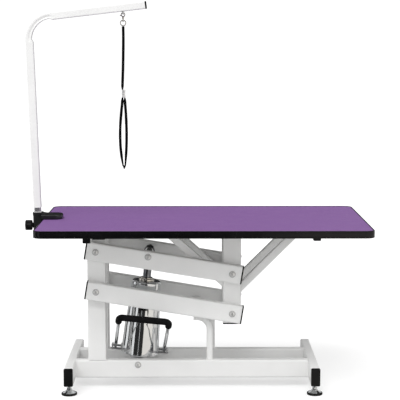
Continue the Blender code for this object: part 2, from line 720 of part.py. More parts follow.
def build_tabletop(body):
    """The board on the top frame, the mat on the board, and the trim around both."""
    inner = 2 * (TRIM_WIDE + GAP)
    board_outline = rounded_rectangle(
        BOARD_LENGTH - inner, BOARD_WIDTH - inner, BOARD_CORNER - TRIM_WIDE - GAP, 6
    )
    board_z = BOARD_BOTTOM + BOARD_THICK / 2
    body.add(
        "tabletop_board", prism((board_outline,), BOARD_THICK), WOOD,
        Matrix.Translation((BOARD_X, 0, board_z)),
    )
    mat = body.add(
        "tabletop_mat", prism((board_outline,), MAT_THICK), PURPLE_MAT,
        Matrix.Translation((BOARD_X, 0, MAT_TOP - MAT_THICK / 2)),
    )
    dent = prism((jaw_outline(margin=JAW_DENT_RIM),), 2 * JAW_DENT)
    combine(mat, body.helper("dent", dent, Matrix.Translation((0, 0, MAT_TOP))), "DIFFERENCE")
    outer_ring = rounded_rectangle(BOARD_LENGTH, BOARD_WIDTH, BOARD_CORNER, 6)
    inner_ring = rounded_rectangle(
        BOARD_LENGTH - 2 * TRIM_WIDE, BOARD_WIDTH - 2 * TRIM_WIDE, BOARD_CORNER - TRIM_WIDE, 6
    )
    trim_tall = MAT_TOP + TRIM_LIP - BOARD_BOTTOM
    trim = body.add(
        "edge_trim", prism((outer_ring, inner_ring), trim_tall), BLACK_PLASTIC,
        Matrix.Translation((BOARD_X, 0, BOARD_BOTTOM + trim_tall / 2)),
    )
    bevelled(trim, TRIM_WIDE / 3)


def jaw_outline(left=JAW_LEFT, margin=0.0):
    """The upper jaw seen from above, from this left edge to its free corners, grown by a margin."""
    half = JAW_WIDE / 2 + margin
    corner = JAW_CORNER + margin
    outline = [(left, -half)]
    for centre_y, start in ((corner - half, -90), (half - corner, 0)):
        centre = (JAW_RIGHT - JAW_CORNER, centre_y)
        outline += arc_points(centre, corner, start, start + 90, 5)
    return outline + [(left, half)]


# ---- Pump and pedal -----------------------------------------------------------------------------
def build_pump(base):
    """The pump on its pin: a cylinder under a chromed cover, the gland, the ram and the pedal."""
    matrix = Matrix.Translation(PUMP_PIN) @ Matrix.Rotation(PUMP_TILT, 4, "Y")
    body = Body("pump_origin", matrix, base)
    cylinder_top = COVER_TOP - COVER_WALL - GAP
    bore = RAM_RADIUS + RUNNING
    cylinder = body.add(
        "pump_cylinder",
        profile_mesh([
            (0, RAM_BOTTOM - 0.006),
            (bore, RAM_BOTTOM - 0.006),
            (bore, cylinder_top),
            (CYLINDER_RADIUS, cylinder_top),
            (CYLINDER_RADIUS, 0.034),
            (BELL_RADIUS - COVER_WALL - 0.004, 0.030),
            (BELL_RADIUS - COVER_WALL - 0.004, 0.020),
            (0.028, 0.014),
            (0.028, -0.022),
            (0.024, -0.026),
            (0, -0.026),
        ]),
        ZINC, matrix, False,
    )
    turn(cylinder, 24)
    drill(body, cylinder, PUMP_PIN, PIN_RADIUS + RUNNING, Y_AXIS, 0.080)

    cover = body.add("pump_cover", profile_mesh(cover_profile(), closed=True), CHROME, matrix, False)
    turn(cover, 28)
    for sign in (-1, 1):
        build_bracket(body, cover, sign)

    gland_low = COVER_TOP + GAP
    gland = body.add(
        "pump_gland",
        profile_mesh([
            (bore, gland_low + GLAND_TALL),
            (GLAND_RADIUS - 0.006, gland_low + GLAND_TALL),
            (GLAND_RADIUS, gland_low + GLAND_TALL - 0.004),
            (GLAND_RADIUS, gland_low),
            (bore, gland_low),
        ], closed=True),
        ZINC, matrix, False,
    )
    turn(gland, 28)
    return body


def build_bracket(pump, cover, sign):
    """One of the pedal's brackets, joined to the cover: a base with two ears and a pin hole."""
    pivot = Vector((0, -PEDAL_FORWARD, PEDAL_HEIGHT))
    middle = sign * (PEDAL_SPREAD / 2 - PEDAL_EAR_SHIFT)
    base = box_mesh(BRACKET_OUTER - BRACKET_INNER, BRACKET_DEEP, BRACKET_THICK)
    base_x = sign * (BRACKET_INNER + BRACKET_OUTER) / 2
    places = [(base, Vector((base_x, 0, BRACKET_THICK / 2 - BRACKET_BASE)))]
    for ear in (-EAR_HALF, EAR_HALF):
        plate = box_mesh(BRACKET_THICK, BRACKET_DEEP, BRACKET_BASE + EAR_ABOVE)
        places.append((plate, Vector((middle + ear, 0, (EAR_ABOVE - BRACKET_BASE) / 2))))
    for shape, place in places:
        at = pump.matrix @ Matrix.Translation(pivot + place)
        combine(cover, pump.helper("pedal_bracket", shape, at), "UNION")
    hole = pump.matrix @ (pivot + X_AXIS * middle)
    reach = 2 * (EAR_HALF + BRACKET_THICK)
    drill(pump, cover, hole, PEDAL_PIN + RUNNING, pump.matrix.to_3x3() @ X_AXIS, reach)


def cover_profile():
    """The chromed cover's wall, down its outer side and back up its inner side."""
    hole = GLAND_RADIUS - 0.004
    outer = (
        [(hole, COVER_TOP)]
        + arc_points((CROWN_RADIUS - 0.008, COVER_TOP - 0.008), 0.008, 90, 0, 3)
        + [
            (NECK_RADIUS, NECK_BOTTOM),
            (BELL_TOP_RADIUS - 0.0008, BELL_TOP + 0.006),
            (BELL_TOP_RADIUS, BELL_TOP),
            (BELL_RADIUS, COVER_RIM),
        ]
    )
    inner = [(radius - COVER_WALL, height) for radius, height in reversed(outer[1:])]
    inner[-1] = (inner[-1][0], COVER_TOP - COVER_WALL)
    inner[-2] = (inner[-2][0], inner[-2][1] - COVER_WALL / 2)
    return outer + inner + [(hole, COVER_TOP - COVER_WALL)]


def build_ram(pump):
    """The ram, which slides in the cylinder, with the eye around the upper arms' pin."""
    body = Body("ram_origin", pump.matrix, pump)
    length = PIN_TO_PIN - RAM_BOTTOM
    rod_at = pump.matrix @ Matrix.Translation((0, 0, RAM_BOTTOM + (length - RAM_EYE_HOLE) / 2))
    ram = body.add(
        "pump_ram", cylinder_mesh(RAM_RADIUS, length - RAM_EYE_HOLE), CHROME, rod_at
    )
    eye_at = axes(RAM_PIN, Y_AXIS, Z_AXIS)
    eye = body.helper("ram_eye", cylinder_mesh(RAM_EYE_RADIUS, RAM_EYE_WIDE, 24), eye_at)
    combine(ram, eye, "UNION")
    drill(body, ram, RAM_PIN, RAM_EYE_HOLE, Y_AXIS, RAM_EYE_WIDE + 0.01)


def build_pedal(pump):
    """The pedal: a bent rod on a cross pin in each bracket, with a foam grip on its front."""
    pivot = Vector((0, -PEDAL_FORWARD, PEDAL_HEIGHT))
    matrix = pump.matrix @ Matrix.Translation(pivot)
    body = Body("pedal_origin", matrix, pump)
    half = PEDAL_SPREAD / 2
    front = Vector((PEDAL_SKEW, -PEDAL_REACH, PEDAL_RISE))
    tail = -front.normalized() * PEDAL_ROD
    corners = [
        Vector((-half, 0, 0)) + tail,
        Vector((-half, 0, 0)),
        Vector((-half, 0, 0)) + front,
        Vector((half, 0, 0)) + front,
        Vector((half, 0, 0)),
        Vector((half, 0, 0)) + tail,
    ]
    rod = filleted([corners[0], corners[2], corners[3], corners[5]], PEDAL_BEND, 5)
    frame = body.add("pedal_frame", swept_mesh(rod, PEDAL_ROD), CHROME, matrix)
    for sign in (-1, 1):
        pin = cylinder_mesh(PEDAL_PIN, 2 * PEDAL_PIN_HALF)
        pin_at = matrix @ axes(X_AXIS * sign * (half - PEDAL_EAR_SHIFT), X_AXIS, Z_AXIS)
        combine(frame, body.helper("pedal_pin", pin, pin_at), "UNION")
    down = -front.normalized() * (PEDAL_BEND + GRIP_TAIL)
    grip_corners = [corners[2] + down, corners[2], corners[3], corners[3] + down]
    grip = body.add(
        "pedal_grip", swept_mesh(filleted(grip_corners, PEDAL_BEND, 5), GRIP_RADIUS, resolution=3),
        FOAM, matrix,
    )
    bore_corners = [corners[2] + down * 1.2, corners[2], corners[3], corners[3] + down * 1.2]
    bore = swept_mesh(filleted(bore_corners, PEDAL_BEND, 5), PEDAL_ROD + GAP)
    combine(grip, body.helper("grip_bore", bore, matrix), "DIFFERENCE")


# ---- Clamp and grooming arm ---------------------------------------------------------------------
def build_clamp(carriage):
    """The clamp on the tabletop's end: jaws, spine and the socket of the grooming arm."""
    jaw_low = MAT_TOP + TRIM_LIP + GAP
    spine_left, spine_right = JAW_LEFT, BOARD_LEFT - GAP
    clamp = carriage.add(
        "clamp_body", prism((jaw_outline(),), JAW_THICK), BLACK_STEEL,
        Matrix.Translation((0, 0, jaw_low + JAW_THICK / 2)),
    )
    pad_low = MAT_TOP - JAW_DENT + GAP
    pad_tall = jaw_low + 0.002 - pad_low
    pad = prism((jaw_outline(MAT_LEFT + GAP, -JAW_DENT_RIM),), pad_tall)
    pad_at = Matrix.Translation((0, 0, pad_low + pad_tall / 2))
    combine(clamp, carriage.helper("jaw_pad", pad, pad_at), "UNION")

    lower_top = BOARD_BOTTOM - LOWER_JAW_DROP
    lower_low = lower_top - LOWER_JAW_THICK
    spine_tall = jaw_low + 0.002 - lower_low
    spine_at = Vector(((spine_left + spine_right) / 2, 0, lower_low + spine_tall / 2))
    spine = box_mesh(SPINE_THICK, LOWER_JAW_WIDE, spine_tall)
    combine(clamp, carriage.helper("clamp_spine", spine, Matrix.Translation(spine_at)), "UNION")
    lower_reach = JAW_REACH * 0.75
    lower_length = lower_reach + SPINE_THICK
    lower_at = Vector((spine_left + lower_length / 2, 0, (lower_low + lower_top) / 2))
    lower = box_mesh(lower_length, LOWER_JAW_WIDE, LOWER_JAW_THICK)
    combine(clamp, carriage.helper("lower_jaw", lower, Matrix.Translation(lower_at)), "UNION")

    socket_low = on_upright(-SOCKET_BOTTOM)
    socket_tall = (SOCKET_AT - socket_low).length
    socket_mid = (SOCKET_AT + socket_low) / 2
    socket_matrix = axes(socket_mid, ARM_AXIS, Y_AXIS)
    block = prism(
        (rounded_rectangle(2 * SOCKET_HALF, 2 * SOCKET_HALF, SMALL_CORNER + SOCKET_WALL),),
        socket_tall,
    )
    combine(clamp, carriage.helper("socket", block, socket_matrix), "UNION")
    bridge_left = socket_mid.x
    bridge = box_mesh(spine_right - bridge_left, 2 * SOCKET_HALF - 0.006, socket_tall - 0.012)
    bridge_at = Vector(((bridge_left + spine_right) / 2, 0, socket_mid.z))
    combine(clamp, carriage.helper("socket_web", bridge, Matrix.Translation(bridge_at)), "UNION")
    hole_size = SMALL_TUBE + 2 * GAP
    hole = prism((rounded_rectangle(hole_size, hole_size, SMALL_CORNER),), socket_tall * 2)
    combine(clamp, carriage.helper("socket_hole", hole, socket_matrix), "DIFFERENCE")
    knob_hole = Vector((KNOB_AT.x - SOCKET_HALF, 0, KNOB_AT.z))
    drill(carriage, clamp, knob_hole, SCREW_RADIUS + RUNNING, X_AXIS, 2 * SOCKET_WALL + 0.006)
    screw_at = jaw_screw_place()
    drill(carriage, clamp, Vector((screw_at.x, 0, (lower_low + lower_top) / 2)),
          SCREW_RADIUS + RUNNING, Z_AXIS, LOWER_JAW_THICK + 0.01)


def jaw_screw_place():
    """The top of the jaw screw's pad, against the underside of the tabletop."""
    return Vector((BOARD_LEFT + JAW_REACH * 0.5, 0, BOARD_BOTTOM - GAP))


def build_jaw_screw(carriage):
    """The screw under the tabletop that closes the clamp."""
    at = jaw_screw_place()
    matrix = Matrix.Translation(at)
    body = Body("jaw_screw_origin", matrix, carriage)
    below = -(LOWER_JAW_DROP + LOWER_JAW_THICK)
    screw = body.add(
        "jaw_screw",
        profile_mesh([
            (0, 0), (0.010, 0), (0.010, -0.003), (SCREW_RADIUS, -0.004),
            (SCREW_RADIUS, below - 0.002),
            (JAW_KNOB_RADIUS - 0.001, below - 0.003),
            (JAW_KNOB_RADIUS, below - 0.004),
            (JAW_KNOB_RADIUS, below - JAW_KNOB_TALL + 0.001),
            (JAW_KNOB_RADIUS - 0.001, below - JAW_KNOB_TALL),
            (0, below - JAW_KNOB_TALL),
        ]),
        BLACK_PLASTIC, matrix, False,
    )
    turn(screw, 20)


def build_lock_knob(carriage):
    """The lobed knob whose screw holds the grooming arm in the socket."""
    matrix = axes(Vector((KNOB_FACE, 0, KNOB_AT.z)), -X_AXIS, Z_AXIS)
    body = Body("lock_knob_origin", matrix, carriage)
    lobes, waist, count = 6, 0.0022, 36
    outline = []
    for step in range(count):
        angle = 2 * math.pi * step / count
        radius = KNOB_RADIUS - waist * (1 - math.cos(lobes * angle)) / 2
        outline.append((radius * math.cos(angle), radius * math.sin(angle)))
    head_at = matrix @ Matrix.Translation((0, 0, KNOB_NECK + KNOB_THICK / 2))
    knob = body.add("lock_knob", prism((outline,), KNOB_THICK), BLACK_PLASTIC, head_at)
    bevelled(knob, 0.0015)
    tip = KNOB_FACE + GAP + SOCKET_WALL / math.cos(ARM_LEAN) - GAP
    stem_length = KNOB_NECK + 0.004
    neck = cylinder_mesh(0.009, stem_length)
    neck_at = matrix @ Matrix.Translation((0, 0, stem_length / 2))
    combine(knob, body.helper("knob_neck", neck, neck_at), "UNION")
    screw_length = tip - KNOB_FACE + 0.004
    screw = cylinder_mesh(SCREW_RADIUS, screw_length, 12)
    screw_at = matrix @ Matrix.Translation((0, 0, screw_length / 2 - (tip - KNOB_FACE)))
    combine(knob, body.helper("knob_screw", screw, screw_at), "UNION")


def build_grooming_arm(carriage):
    """The bent square tube that slides in the clamp's socket, with its cap and noose eye."""
    bottom = on_upright(-ARM_BELOW)
    body = Body("grooming_arm_origin", Matrix.Translation(bottom), carriage)
    route = filleted([bottom, ARM_CORNER, ARM_TIP], ARM_BEND, 10)
    section = rounded_rectangle(SMALL_TUBE, SMALL_TUBE, SMALL_CORNER)
    arm = body.add(
        "grooming_arm", swept_mesh(route, section=section, caps=False), WHITE_STEEL, Matrix()
    )
    wall = arm.modifiers.new("wall", "SOLIDIFY")
    wall.thickness = SMALL_WALL
    wall.offset = -1
    wall.use_even_offset = True
    end_cap(
        body, "grooming_arm_cap", ARM_TIP, OVERHEAD, Y_AXIS.cross(-OVERHEAD),
        SMALL_TUBE, SMALL_TUBE, SMALL_WALL, SMALL_CORNER,
    )
    legs = NOOSE_BAR + Z_AXIS * (EYE_DROP - GAP * 2)
    corners = [
        legs - Y_AXIS * EYE_HALF, NOOSE_BAR - Y_AXIS * EYE_HALF,
        NOOSE_BAR + Y_AXIS * EYE_HALF, legs + Y_AXIS * EYE_HALF,
    ]
    body.add("noose_eye", swept_mesh(filleted(corners, 0.003, 3), EYE_WIRE), CHROME, Matrix())
    return body


# ---- Noose --------------------------------------------------------------------------------------
def build_noose(arm):
    """The snap hook, ring, strap with its two strands, and the slider, which hang from the eye."""
    body = Body("noose_origin", Matrix.Translation(NOOSE_BAR), arm)
    hook_at = axes(NOOSE_BAR, Y_AXIS, Z_AXIS)
    hook = body.add("snap_hook", torus_mesh(HOOK_LOOP, HOOK_WIRE), CHROME, hook_at)
    lower = NOOSE_BAR - Z_AXIS * HOOK_LENGTH
    lower_loop = body.helper("hook_eye", torus_mesh(HOOK_LOOP, HOOK_WIRE), axes(lower, X_AXIS, Z_AXIS))
    combine(hook, lower_loop, "UNION")
    neck_length = HOOK_LENGTH - 2 * HOOK_LOOP + HOOK_WIRE * 0.8
    neck_at = Matrix.Translation(NOOSE_BAR - Z_AXIS * HOOK_LENGTH / 2) @ Matrix.Rotation(0.13, 4, "Z")
    neck = body.helper("hook_neck", cylinder_mesh(0.0028, neck_length, 12), neck_at)
    combine(hook, neck, "UNION")

    ring_centre = lower - Z_AXIS * RING_LOOP
    body.add(
        "noose_ring", torus_mesh(RING_LOOP, RING_WIRE, 20), CHROME,
        axes(ring_centre, Y_AXIS, Z_AXIS),
    )
    for name, route in (("noose_strap", STRAP_ROUTE), ("noose_return", RETURN_ROUTE)):
        points = [NOOSE_BAR + Vector((side, 0, -down)) for side, down in route]
        strand = swept_mesh(smooth_route(points), STRAP_RADIUS)
        body.add(name, strand, NYLON, Matrix())

    slider_at = NOOSE_BAR - Z_AXIS * (SLIDER_TOP + SLIDER_TALL / 2)
    outline = rounded_rectangle(SLIDER_WIDE, SLIDER_DEEP, 0.002)
    slider = body.add(
        "noose_slider", prism((outline,), SLIDER_TALL), CHROME, Matrix.Translation(slider_at)
    )
    drill(body, slider, slider_at - X_AXIS * STRAND_HALF, STRAP_RADIUS + GAP * 2,
          Z_AXIS, SLIDER_TALL + 0.01)


def smooth_route(points, steps=3):
    """Points of a smooth curve through the given ones."""
    padded = [points[0] * 2 - points[1], *points, points[-1] * 2 - points[-2]]
    route = []
    for p0, p1, p2, p3 in zip(padded, padded[1:], padded[2:], padded[3:]):
        for step in range(steps):
            t = step / steps
            route.append(
                0.5 * (2 * p1 + (p2 - p0) * t + (2 * p0 - 5 * p1 + 4 * p2 - p3) * t * t
                       + (3 * p1 - p0 - 3 * p2 + p3) * t * t * t)
            )
    return route + [points[-1]]


table_base = build_base()
build_feet(table_base)
lower_arms = build_arms(table_base, "lower", LOWER_FIXED, LOWER_MOVING)
build_lower_tie(lower_arms)
build_arms(table_base, "upper", UPPER_FIXED, UPPER_MOVING)
table_carriage = build_carriage(lower_arms)
table_pump = build_pump(table_base)
build_ram(table_pump)
build_pedal(table_pump)
build_clamp(table_carriage)
build_jaw_screw(table_carriage)
build_lock_knob(table_carriage)
grooming_arm = build_grooming_arm(table_carriage)
build_noose(grooming_arm)
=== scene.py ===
"""Dress of the hydraulic pet grooming table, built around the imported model.

Metres, +Z up, the front of the table towards -Y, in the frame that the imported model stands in.
Each class below is one sub-assembly: its fields are its sizes and its methods make its pieces.
"""

from __future__ import annotations

import logging
import math
from dataclasses import dataclass, field
from enum import Enum
from typing import Callable, Sequence

import bmesh
import bpy
from mathutils import Matrix, Vector, noise

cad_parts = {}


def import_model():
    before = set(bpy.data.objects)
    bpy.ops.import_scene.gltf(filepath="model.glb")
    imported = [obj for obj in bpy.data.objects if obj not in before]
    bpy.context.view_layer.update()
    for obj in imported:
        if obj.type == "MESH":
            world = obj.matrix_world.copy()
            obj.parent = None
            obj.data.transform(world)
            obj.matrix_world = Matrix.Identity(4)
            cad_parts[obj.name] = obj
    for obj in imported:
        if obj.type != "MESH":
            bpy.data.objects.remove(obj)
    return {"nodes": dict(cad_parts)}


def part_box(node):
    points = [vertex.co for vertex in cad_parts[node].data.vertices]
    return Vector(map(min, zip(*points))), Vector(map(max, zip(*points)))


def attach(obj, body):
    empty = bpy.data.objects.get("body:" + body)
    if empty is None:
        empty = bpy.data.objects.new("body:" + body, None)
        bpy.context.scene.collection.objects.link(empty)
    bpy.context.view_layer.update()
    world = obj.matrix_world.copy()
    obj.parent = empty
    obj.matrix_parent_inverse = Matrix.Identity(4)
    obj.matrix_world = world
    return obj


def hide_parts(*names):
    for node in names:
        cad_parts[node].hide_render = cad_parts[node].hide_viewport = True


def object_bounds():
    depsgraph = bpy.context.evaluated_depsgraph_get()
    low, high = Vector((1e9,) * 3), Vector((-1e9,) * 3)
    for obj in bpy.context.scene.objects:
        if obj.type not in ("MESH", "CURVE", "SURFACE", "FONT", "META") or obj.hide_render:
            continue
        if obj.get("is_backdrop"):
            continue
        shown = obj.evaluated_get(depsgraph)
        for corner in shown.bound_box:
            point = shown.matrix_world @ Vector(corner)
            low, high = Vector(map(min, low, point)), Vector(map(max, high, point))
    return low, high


LOG = logging.getLogger("grooming_table")

X_AXIS, Y_AXIS, Z_AXIS = Vector((1, 0, 0)), Vector((0, 1, 0)), Vector((0, 0, 1))
Ring = list[Vector]
Outline = list[tuple[float, float]]


class Body(Enum):
    """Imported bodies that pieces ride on."""

    BASE = "base"
    LOWER_ARMS = "lower_arms"
    UPPER_ARMS = "upper_arms"
    CARRIAGE = "carriage"
    PUMP = "pump"
    RAM = "ram"
    PEDAL = "pedal"
    JAW_SCREW = "jaw_screw"
    LOCK_KNOB = "lock_knob"
    ARM = "arm"
    NOOSE = "noose"


class Slot(Enum):
    """Material slots, one named by each finish."""

    WHITE = "white_powder_coat"
    PLASTIC = "black_plastic"
    BLACK_STEEL = "black_coated_steel"
    CHROME = "chrome"
    ZINC = "zinc_plated_steel"
    WOOD = "board_wood"
    MAT = "purple_mat"
    FOAM = "black_foam"
    NYLON = "black_nylon"


# ---- Materials ----------------------------------------------------------------------------------
def linear(colour: str) -> tuple[float, float, float, float]:
    """Turn an sRGB hex colour into linear light.

    Args:
        colour: The colour as "#RRGGBB".

    Returns:
        Red, green, blue and an alpha of 1.
    """
    shares = [int(colour[start:start + 2], 16) / 255 for start in (1, 3, 5)]
    red, green, blue = (
        share / 12.92 if share <= 0.04045 else ((share + 0.055) / 1.055) ** 2.4
        for share in shares
    )
    return red, green, blue, 1.0


def node(
    tree: bpy.types.NodeTree,
    kind: str,
    inputs: dict[str | int, object] | None = None,
    **settings: object,
) -> bpy.types.Node:
    """Add a node with its settings and links.

    Args:
        tree: The node tree that gets the node.
        kind: Blender's name of the node type.
        inputs: Values by socket; another node's output is linked.
        **settings: Properties of the node itself.

    Returns:
        The new node.
    """
    made = tree.nodes.new(kind)
    for key, value in settings.items():
        setattr(made, key, value)
    for key, value in (inputs or {}).items():
        if isinstance(value, bpy.types.NodeSocket):
            tree.links.new(value, made.inputs[key])
        else:
            made.inputs[key].default_value = value
    return made


def ramp(
    tree: bpy.types.NodeTree, share: bpy.types.NodeSocket, low: str, high: str, start: float, end: float
) -> bpy.types.NodeSocket:
    """Colour that runs from low to high as share runs from start to end."""
    made = node(tree, "ShaderNodeValToRGB", {0: share})
    first, last = made.color_ramp.elements
    first.position, first.color = start, linear(low)
    last.position, last.color = end, linear(high)
    return made.outputs["Color"]


@dataclass(frozen=True)
class Finish:
    """A real material and how its surface was made.

    The bumps and blotches are Perlin noise in the object's own space, in real sizes.
    """

    name: str
    slot: Slot
    colour: str
    second: str
    roughness: float
    metallic: float = 0.0
    blotch: float = 0.12  # metres across one soft patch of colour
    grain: float = 0.002  # metres across one bump
    relief: float = 0.0001  # height of the bumps
    rough_spread: float = 0.05
    round_edges: float = 0.0
    sheen: float = 0.0
    specular: float = 0.5

    def material(self) -> bpy.types.Material:
        """The finish's material, made on first use."""
        found = bpy.data.materials.get(self.name)
        if found:
            return found
        made = bpy.data.materials.new(self.name)
        made.use_nodes = True
        tree = made.node_tree
        tree.nodes.clear()
        place = node(tree, "ShaderNodeTexCoord").outputs["Object"]
        shader = node(tree, "ShaderNodeBsdfPrincipled", {
            "Base Color": self.tone(tree, place),
            "Metallic": self.metallic,
            "Roughness": self.polish(tree, place),
            "Normal": self.surface(tree, place),
        })
        shader.inputs["Sheen Weight"].default_value = self.sheen
        if not self.metallic:
            shader.inputs["Specular IOR Level"].default_value = self.specular
        node(tree, "ShaderNodeOutputMaterial", {"Surface": shader.outputs["BSDF"]})
        return made

    def cloud(
        self, tree: bpy.types.NodeTree, place: bpy.types.NodeSocket, size: float, detail: float = 2.0
    ) -> bpy.types.NodeSocket:
        """Soft noise whose patches are this many metres across."""
        made = node(tree, "ShaderNodeTexNoise", {"Vector": place, "Scale": 1 / size, "Detail": detail})
        return made.outputs["Fac"]

    def tone(self, tree: bpy.types.NodeTree, place: bpy.types.NodeSocket) -> bpy.types.NodeSocket:
        """Colour: soft patches between the finish's two colours."""
        return ramp(tree, self.cloud(tree, place, self.blotch), self.colour, self.second, 0.35, 0.68)

    def polish(self, tree: bpy.types.NodeTree, place: bpy.types.NodeSocket) -> bpy.types.NodeSocket:
        """Roughness: patches of handling around the finish's own value."""
        low, high = self.roughness - self.rough_spread, self.roughness + self.rough_spread
        return node(tree, "ShaderNodeMapRange", {
            "Value": self.cloud(tree, place, self.blotch * 0.4, 3.0),
            "From Min": 0.3, "From Max": 0.7, "To Min": max(low, 0.02), "To Max": high,
        }).outputs["Result"]

    def height(self, tree: bpy.types.NodeTree, place: bpy.types.NodeSocket) -> bpy.types.NodeSocket:
        """Height of the surface's relief, from 0 to 1."""
        return self.cloud(tree, place, self.grain, 1.0)

    def surface(self, tree: bpy.types.NodeTree, place: bpy.types.NodeSocket) -> bpy.types.NodeSocket:
        """Normal: the relief, on edges rounded off by the finish."""
        inputs = {"Height": self.height(tree, place), "Distance": self.relief, "Strength": 1.0}
        if self.round_edges:
            inputs["Normal"] = node(
                tree, "ShaderNodeBevel", {"Radius": self.round_edges}, samples=4
            ).outputs["Normal"]
        return node(tree, "ShaderNodeBump", inputs).outputs["Normal"]


@dataclass(frozen=True)
class MouldedRubberMat(Finish):
    """Rubber sheet embossed with crossing ribs, which give a fine diamond grid."""

    pitch: float = 0.0042  # real ribs are about 3 mm apart; these are as coarse as show

    def height(self, tree: bpy.types.NodeTree, place: bpy.types.NodeSocket) -> bpy.types.NodeSocket:
        """Two crossing sets of ribs."""
        ribs = []
        for turn in (45, -45):
            spun = node(tree, "ShaderNodeMapping", {
                "Vector": place, "Rotation": (0, 0, math.radians(turn)),
                "Scale": (1 / self.pitch / 20 * math.tau,) * 3,
            })
            ribs.append(node(tree, "ShaderNodeTexWave", {
                "Vector": spun.outputs["Vector"], "Scale": 1.0, "Distortion": 0.0,
            }, bands_direction="X", wave_profile="SIN").outputs["Fac"])
        return node(
            tree, "ShaderNodeMath", {0: ribs[0], 1: ribs[1]}, operation="MAXIMUM"
        ).outputs["Value"]

    def tone(self, tree: bpy.types.NodeTree, place: bpy.types.NodeSocket) -> bpy.types.NodeSocket:
        """Colour: painted highlight on the ribs' tops and painted shade in the diamonds between them.
        """
        # painted light: ribs' tops lighter and the diamonds between them darker, as light and shade
        # would fall
        return ramp(tree, self.height(tree, place), self.colour, self.second, 0.1, 0.9)


@dataclass(frozen=True)
class WovenWebbing(Finish):
    """Flat-woven nylon tape: short diagonal floats that catch the light in rows."""

    pitch: float = 0.0016  # real picks are about 0.8 mm apart; drawn at twice that to show

    def height(self, tree: bpy.types.NodeTree, place: bpy.types.NodeSocket) -> bpy.types.NodeSocket:
        """Rows of threads across the tape, stepped sideways by the weave."""
        scale = math.tau / self.pitch / 20
        rows = node(tree, "ShaderNodeTexWave", {
            "Vector": place, "Scale": scale, "Distortion": 0.6, "Detail": 1.0,
            "Detail Scale": 1.0,
        }, bands_direction="Z", wave_profile="SIN").outputs["Fac"]
        warp = node(tree, "ShaderNodeTexWave", {
            "Vector": place, "Scale": scale * 1.2, "Distortion": 0.3,
        }, bands_direction="DIAGONAL", wave_profile="SIN").outputs["Fac"]
        return node(tree, "ShaderNodeMath", {0: rows, 1: warp}, operation="MULTIPLY").outputs["Value"]

    def tone(self, tree: bpy.types.NodeTree, place: bpy.types.NodeSocket) -> bpy.types.NodeSocket:
        """Colour: painted highlight on the thread tops and painted shade in the ground between them."""
        # painted light: thread tops paler and the ground between them darker
        return ramp(tree, self.height(tree, place), self.colour, self.second, 0.2, 0.9)


@dataclass(frozen=True)
class CellFoam(Finish):
    """Closed-cell foam tube: soft matt skin with fine pores."""

    def height(self, tree: bpy.types.NodeTree, place: bpy.types.NodeSocket) -> bpy.types.NodeSocket:
        """Pores as small round pits."""
        return node(
            tree, "ShaderNodeTexVoronoi", {"Vector": place, "Scale": 1 / self.grain}
        ).outputs["Distance"]


@dataclass(frozen=True)
class Plywood(Finish):
    """Sanded plywood: long grain along the board."""

    def tone(self, tree: bpy.types.NodeTree, place: bpy.types.NodeSocket) -> bpy.types.NodeSocket:
        """Colour: darker grain lines, drawn out along X."""
        drawn = node(tree, "ShaderNodeMapping", {"Vector": place, "Scale": (6, 160, 160)})
        grain = node(tree, "ShaderNodeTexNoise", {
            "Vector": drawn.outputs["Vector"], "Scale": 1.0, "Detail": 4.0,
        }).outputs["Fac"]
        return ramp(tree, grain, self.colour, self.second, 0.35, 0.7)


@dataclass(frozen=True)
class BrightPlate(Finish):
    """Electroplated metal: a hard mirror with the faint smears of handling."""

    def polish(self, tree: bpy.types.NodeTree, place: bpy.types.NodeSocket) -> bpy.types.NodeSocket:
        """Roughness: mostly mirror, with smears drawn out along the height."""
        drawn = node(tree, "ShaderNodeMapping", {"Vector": place, "Scale": (1, 1, 0.35)})
        return node(tree, "ShaderNodeMapRange", {
            "Value": self.cloud(tree, drawn.outputs["Vector"], 0.03, 4.0),
            "From Min": 0.45, "From Max": 0.75,
            "To Min": self.roughness, "To Max": self.roughness + self.rough_spread,
        }).outputs["Result"]


# Polyester powder coat, baked on steel: smooth satin white with a faint orange peel.
POWDER_COAT = Finish(
    "powder_coated_steel_white", Slot.WHITE, "#EFEFEE", "#F4F4F3", 0.40,
    grain=0.0022, relief=0.00002, round_edges=0.0012,
)
# Injection-moulded polyethylene: dark, a little shiny, with the mould's fine texture.
MOULDED_PLASTIC = Finish(
    "moulded_polyethylene_black", Slot.PLASTIC, "#0B0B0C", "#111113", 0.42,
    blotch=0.03, grain=0.0009, relief=0.00004, specular=0.3,
)
# Extruded soft PVC edge: smoother and glossier than the moulded caps.
EXTRUDED_PVC = Finish(
    "extruded_pvc_black", Slot.PLASTIC, "#060607", "#0B0B0D", 0.24,
    blotch=0.08, grain=0.02, relief=0.00002, rough_spread=0.05, specular=0.3,
)
# Vulcanised rubber of the foot pads: dull and almost black.
PAD_RUBBER = Finish(
    "vulcanised_rubber_black", Slot.PLASTIC, "#0C0C0C", "#151515", 0.75,
    blotch=0.02, grain=0.0011, relief=0.00006,
)
# Satin black coat on a forged clamp: soft highlights that show the forging's unevenness.
COATED_FORGING = Finish(
    "coated_forged_steel_black", Slot.BLACK_STEEL, "#161718", "#202223", 0.36,
    blotch=0.03, grain=0.0035, relief=0.00012, rough_spread=0.08,
)
# Chromium plate on polished steel: near-black and near-white reflections.
CHROME_PLATE = BrightPlate(
    "chromium_plated_steel", Slot.CHROME, "#D9DBDD", "#E3E5E6", 0.045, 1.0,
    blotch=0.08, grain=0.03, relief=0.00002, rough_spread=0.10,
)
# Nickel plate on the small hardware: a little warmer and softer than the chrome.
NICKEL_PLATE = BrightPlate(
    "nickel_plated_hardware", Slot.CHROME, "#C9C5BE", "#D6D2CB", 0.14, 1.0,
    blotch=0.01, grain=0.004, relief=0.00002, rough_spread=0.12,
)
# Hard chrome on the ram, its colour darkened below the cover's as a painted dark reflection.
RAM_CHROME_PAINTED_DARK = BrightPlate(
    "hard_chromed_steel_painted_dark_reflection", Slot.CHROME, "#6E7074", "#85878B", 0.09, 1.0,
    blotch=0.02, grain=0.01, relief=0.00002, rough_spread=0.08,
)
